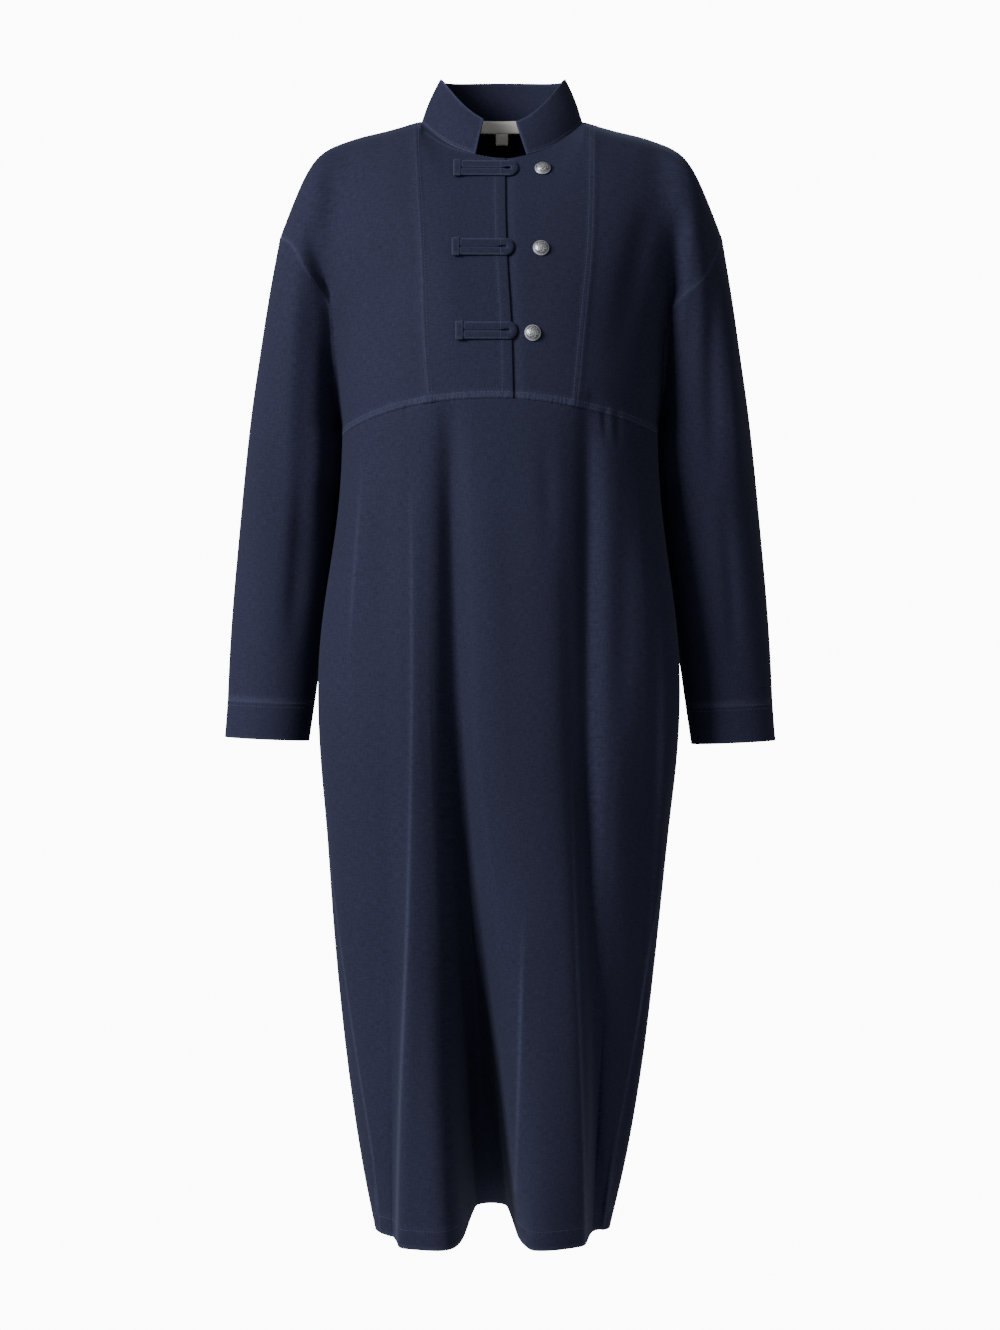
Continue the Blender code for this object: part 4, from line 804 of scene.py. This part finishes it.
for node, left, tip, drop in LOOPS:
    bpy.ops.object.select_all(action="DESELECT")
    bpy.ops.mesh.primitive_circle_add(vertices=STRAP_CORNERS, radius=1, fill_type="NOTHING")
    strap = bpy.context.object
    strap.name = node + "_strap"
    eye = tip - EYE_OFF - EYE_HALF
    bpy.ops.object.mode_set(mode="EDIT")
    bpy.ops.mesh.select_all(action="SELECT")
    bpy.ops.transform.rotate(value=math.pi / 2, orient_axis="Y", center_override=(0, 0, 0))
    bpy.ops.transform.resize(value=(1, LEG_HIGH, LEG_HALF))
    bpy.ops.transform.translate(value=(left + LEG_START, 0, LEG_OFF))
    step = (eye - left - LEG_START) / LEG_STEPS
    for _ in range(LEG_STEPS):
        bpy.ops.mesh.extrude_region_move(TRANSFORM_OT_translate={"value": (step, 0, 0)})
    bpy.ops.mesh.spin(steps=EYE_STEPS, angle=-math.pi, center=(eye, 0, 0), axis=(0, 1, 0))
    for _ in range(LEG_STEPS):
        bpy.ops.mesh.extrude_region_move(TRANSFORM_OT_translate={"value": (-step, 0, 0)})
    bpy.ops.mesh.select_all(action="SELECT")
    bpy.ops.mesh.remove_doubles(threshold=0.001)
    bpy.ops.mesh.fill_holes(sides=0)
    bpy.ops.mesh.normals_make_consistent(inside=False)
    bpy.ops.object.mode_set(mode="OBJECT")

    # the legs spread and narrow as they come round the eye
    flat = places_of(strap)
    past = np.maximum(flat[:, 0] - eye, 0)
    out = np.hypot(past, flat[:, 2])
    turn = ease((flat[:, 0] - eye + EYE_FADE) / EYE_FADE)
    off = LEG_OFF + (EYE_OFF - LEG_OFF) * turn
    wide = 1 + (EYE_HALF / LEG_HALF - 1) * turn
    grown = (off + (out - LEG_OFF) * wide) / np.maximum(out, 0.01)
    to_edge = LEG_HALF - np.abs(out - LEG_OFF)
    flat[:, 2] *= grown
    flat[:, 0] += past * (grown - 1)
    flat[:, 1] -= LEG_HIGH
    move_to(strap, flat)
    set_wear_and_highlight(strap, STRAP_RUB * np.exp(-(to_edge / STRAP_RUB_WIDE) ** 2))

    # the band is a rounded block across both legs
    bpy.ops.mesh.primitive_cube_add(size=1, location=(left + BAND_LONG / 2, -BAND_HIGH / 2, 0))
    band = bpy.context.object
    bpy.ops.object.mode_set(mode="EDIT")
    bpy.ops.mesh.select_all(action="SELECT")
    bpy.ops.transform.resize(value=(BAND_LONG, BAND_HIGH, BAND_WIDE))
    bpy.ops.mesh.bevel(offset=BAND_ROUND, segments=3)
    bpy.ops.mesh.subdivide(number_cuts=3)
    bpy.ops.object.mode_set(mode="OBJECT")
    bpy.ops.object.transform_apply()
    corners = places_of(band)
    to_edge = np.minimum(BAND_LONG / 2 - np.abs(corners[:, 0] - left - BAND_LONG / 2),
                         BAND_WIDE / 2 - np.abs(corners[:, 2]))
    set_wear_and_highlight(band, BAND_RUB * np.exp(-(to_edge / BAND_RUB_WIDE) ** 2))
    bpy.ops.object.select_all(action="DESELECT")
    strap.select_set(True)
    band.select_set(True)
    bpy.context.view_layer.objects.active = strap
    bpy.ops.object.join()

    flat = places_of(strap)
    x, z = flat[:, 0] / 1000, (flat[:, 2] - drop) / 1000
    chest = bent_terms(x, z) @ chest_form(left, tip, drop)
    move_to(strap, np.stack((x, chest + (flat[:, 1] - STRAP_LIFT) / 1000, z), axis=1))
    lay_grain(strap, BODY_ROUND)
    bpy.ops.object.select_all(action="DESELECT")
    strap.select_set(True)
    bpy.ops.object.shade_smooth_by_angle(angle=math.radians(50))
    strap.data.materials.append(twill)
    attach(strap, "root")
    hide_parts(node)

    # bars cross the legs at the front's edge and at the band, and a run follows each leg
    legs = [np.linspace(LEG_OFF - BAR_HALF, LEG_OFF + BAR_HALF, BAR_STEPS) * way
            for way in (-1, 1)]
    bars = [from_front(np.full(BAR_STEPS, at / 1000), (leg - drop) / 1000) for leg in legs
            for at in (BAR_PLACE, left + BAND_LONG + BAR_OFF)]
    along = np.linspace(left + BAND_LONG + RUN_START, eye, RUN_STEPS) / 1000
    runs = [from_front(along, np.full(RUN_STEPS, (way * (LEG_OFF + RUN_OFF) - drop) / 1000))
            for way in (-1, 1)]
    sew(node + "_stitches", strap, *bars, *runs, step=STRAP_STITCH, slot="navy_strap")

# The buttons
# Cast pewter domes, blackened and then polished so that the dark stays in their engraving.
# Each is sewn to the right front by the shank under it.
BUTTONS = (("button_1", 42.2, 62.8), ("button_2", 39.9, 147.2), ("button_3", 31.5, 232))
BUTTON_RADIUS, RIM_HIGH, RIM_ROUND = 8, 1.3, 0.4        # millimetres, as all down to the groove
DOME_RADIUS, DOME_HIGH, DOME_LEDGE = 7.1, 4.2, 0.3
SHANK_RADIUS, SHANK_LONG, SHANK_CONE, SHANK_CLEAR = 1.7, 2.4, 0.1, 0.1
GROOVE_DEEP = 0.3
SCROLL_WIDE, SCROLL_IN, SCROLL_OUT = 0.3, (0.08, 0.12), (0.86, 0.06)    # shares of the dome
RING_AT, RING_WIDE, GROOVE_GRIME = 0.9, 0.035, 0.9

pewter, pewter_tree, pewter_shader = new_material("antique_pewter", Metallic=0.8, Roughness=0.42)
grime = add_node(pewter_tree, "Attribute", {"attribute_name": "grime"}).outputs["Fac"]
mottle = add_node(pewter_tree, "TexNoise", {"Scale": 900.0, "Detail": 2.0},
                  {"Vector": add_node(pewter_tree, "TexCoord", {}).outputs["Object"]})
dulled = add_node(pewter_tree, "Math", {"operation": "MULTIPLY_ADD", 1: 0.35, "use_clamp": True},
                  {0: mottle.outputs["Fac"], 2: grime})
pewter_tint = add_node(pewter_tree, "Mix", {"data_type": "RGBA", 6: linear("#dcdee2"),
                                            7: linear("#2c2e33")}, {0: dulled.outputs[0]})
pewter_tree.links.new(pewter_tint.outputs[2], pewter_shader.inputs["Base Color"])

bpy.ops.object.select_all(action="DESELECT")
bpy.ops.mesh.primitive_uv_sphere_add(segments=80, ring_count=40, radius=1)
dome = bpy.context.object
bpy.ops.object.mode_set(mode="EDIT")
bpy.ops.mesh.select_all(action="SELECT")
bpy.ops.mesh.bisect(plane_co=(0, 0, 0), plane_no=(0, 0, 1), clear_inner=True)
bpy.ops.mesh.select_all(action="SELECT")
bpy.ops.transform.resize(value=(DOME_RADIUS, DOME_RADIUS, DOME_HIGH))
bpy.ops.mesh.select_mode(type="EDGE")
rim, depth = DOME_RADIUS, 0
for radius, down in ((BUTTON_RADIUS - DOME_LEDGE, 0), (BUTTON_RADIUS, RIM_ROUND),
                     (BUTTON_RADIUS - RIM_ROUND, RIM_HIGH - RIM_ROUND),
                     (SHANK_RADIUS, SHANK_CONE), (SHANK_RADIUS, SHANK_LONG)):
    bpy.ops.mesh.select_all(action="DESELECT")
    bpy.ops.mesh.select_non_manifold()
    bpy.ops.mesh.extrude_region_move(TRANSFORM_OT_translate={"value": (0, 0, -down)})
    depth += down
    bpy.ops.transform.resize(value=(radius / rim, radius / rim, 1),
                             center_override=(0, 0, -depth))
    rim = radius
bpy.ops.mesh.edge_face_add()
bpy.ops.mesh.select_all(action="SELECT")
bpy.ops.mesh.normals_make_consistent(inside=False)
bpy.ops.object.mode_set(mode="OBJECT")

# scrolls, where three spirals cross five others, and a ring are engraved in the dome
cast = places_of(dome)
out = np.hypot(cast[:, 0], cast[:, 1]) / DOME_RADIUS
round_it = np.arctan2(cast[:, 1], cast[:, 0])
scroll = np.sin(3 * round_it + 7.5 * out) * np.sin(5 * round_it - 9 * out + 1)
scrolls = np.exp(-(scroll / SCROLL_WIDE) ** 2) * ease((out - SCROLL_IN[0]) / SCROLL_IN[1])
scrolls *= ease((SCROLL_OUT[0] - out) / SCROLL_OUT[1])
groove = np.maximum(scrolls, np.exp(-((out - RING_AT) / RING_WIDE) ** 2)) * (cast[:, 2] > 0)
cast *= 1 - groove[:, None] * GROOVE_DEEP / DOME_RADIUS
move_to(dome, cast)
grime_layer = dome.data.attributes.new("grime", "FLOAT", "POINT")
grime_layer.data.foreach_set("value", (groove * GROOVE_GRIME).astype(np.float32))
dome.data.materials.append(pewter)
bpy.ops.object.shade_smooth_by_angle(angle=math.radians(40))

for node, out, drop in BUTTONS:
    place, facing = seen_on(bpy.data.objects["front_centre_right_cloth"],
                            from_front([out / 1000], [-drop / 1000]))
    turn = Vector(facing[0]).to_track_quat("Z", "Y").to_matrix()
    button = dome.copy()
    button.data = dome.data.copy()
    button.name = node + "_cast"
    bpy.context.scene.collection.objects.link(button)
    lifted = places_of(button) + (0, 0, SHANK_LONG + RIM_HIGH + SHANK_CLEAR)
    move_to(button, place[0] + lifted / 1000 @ np.array(turn).T)
    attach(button, "root")
    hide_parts(node)
bpy.data.objects.remove(dome, do_unlink=True)

# The studio
# A pale round floor under the dress, in a white room whose walls are too far off to see, with
# a large soft lamp up on the left and a weak one low on the right.
FLOOR_HEIGHT, FLOOR_RADIUS = -1.5, 0.8
ROOM_GLOW, ROOM_SEEN = 0.24, 12         # how much light the room gives, and how white it looks

bpy.ops.mesh.primitive_circle_add(vertices=96, radius=FLOOR_RADIUS, fill_type="NGON",
                                  location=(0, 0, FLOOR_HEIGHT))
floor = bpy.context.object
floor.name = "studio_floor"
floor_paint, _, _ = new_material("matt_white_floor", Base_Color=linear("#f7f7f8"),
                                 Roughness=0.9)
floor.data.materials.append(floor_paint)

room = bpy.data.worlds.new("white_room")
bpy.context.scene.world = room
room.use_nodes = True
seen = add_node(room.node_tree, "LightPath", {}).outputs["Is Camera Ray"]
glow = add_node(room.node_tree, "MapRange", {"To Min": ROOM_GLOW, "To Max": ROOM_SEEN},
                {"Value": seen})
backdrop = room.node_tree.nodes["Background"]
backdrop.inputs["Color"].default_value = linear("#fcfcfe")
room.node_tree.links.new(glow.outputs["Result"], backdrop.inputs["Strength"])


def add_lamp(name, place, aim, size, power):
    """A square soft lamp."""
    data = bpy.data.lights.new(name, "AREA")
    data.size, data.energy = size, power
    lamp = bpy.data.objects.new(name, data)
    lamp.location = place
    lamp.rotation_euler = (Vector(aim) - Vector(place)).to_track_quat("-Z", "Y").to_euler()
    bpy.context.scene.collection.objects.link(lamp)


add_lamp("key_lamp", place=(-2.1, -1.9, 0.6), aim=(0, 0, -0.55), size=1.1, power=120)
add_lamp("fill_lamp", place=(1.6, -2.4, -0.2), aim=(0, 0, -0.6), size=1.6, power=5)
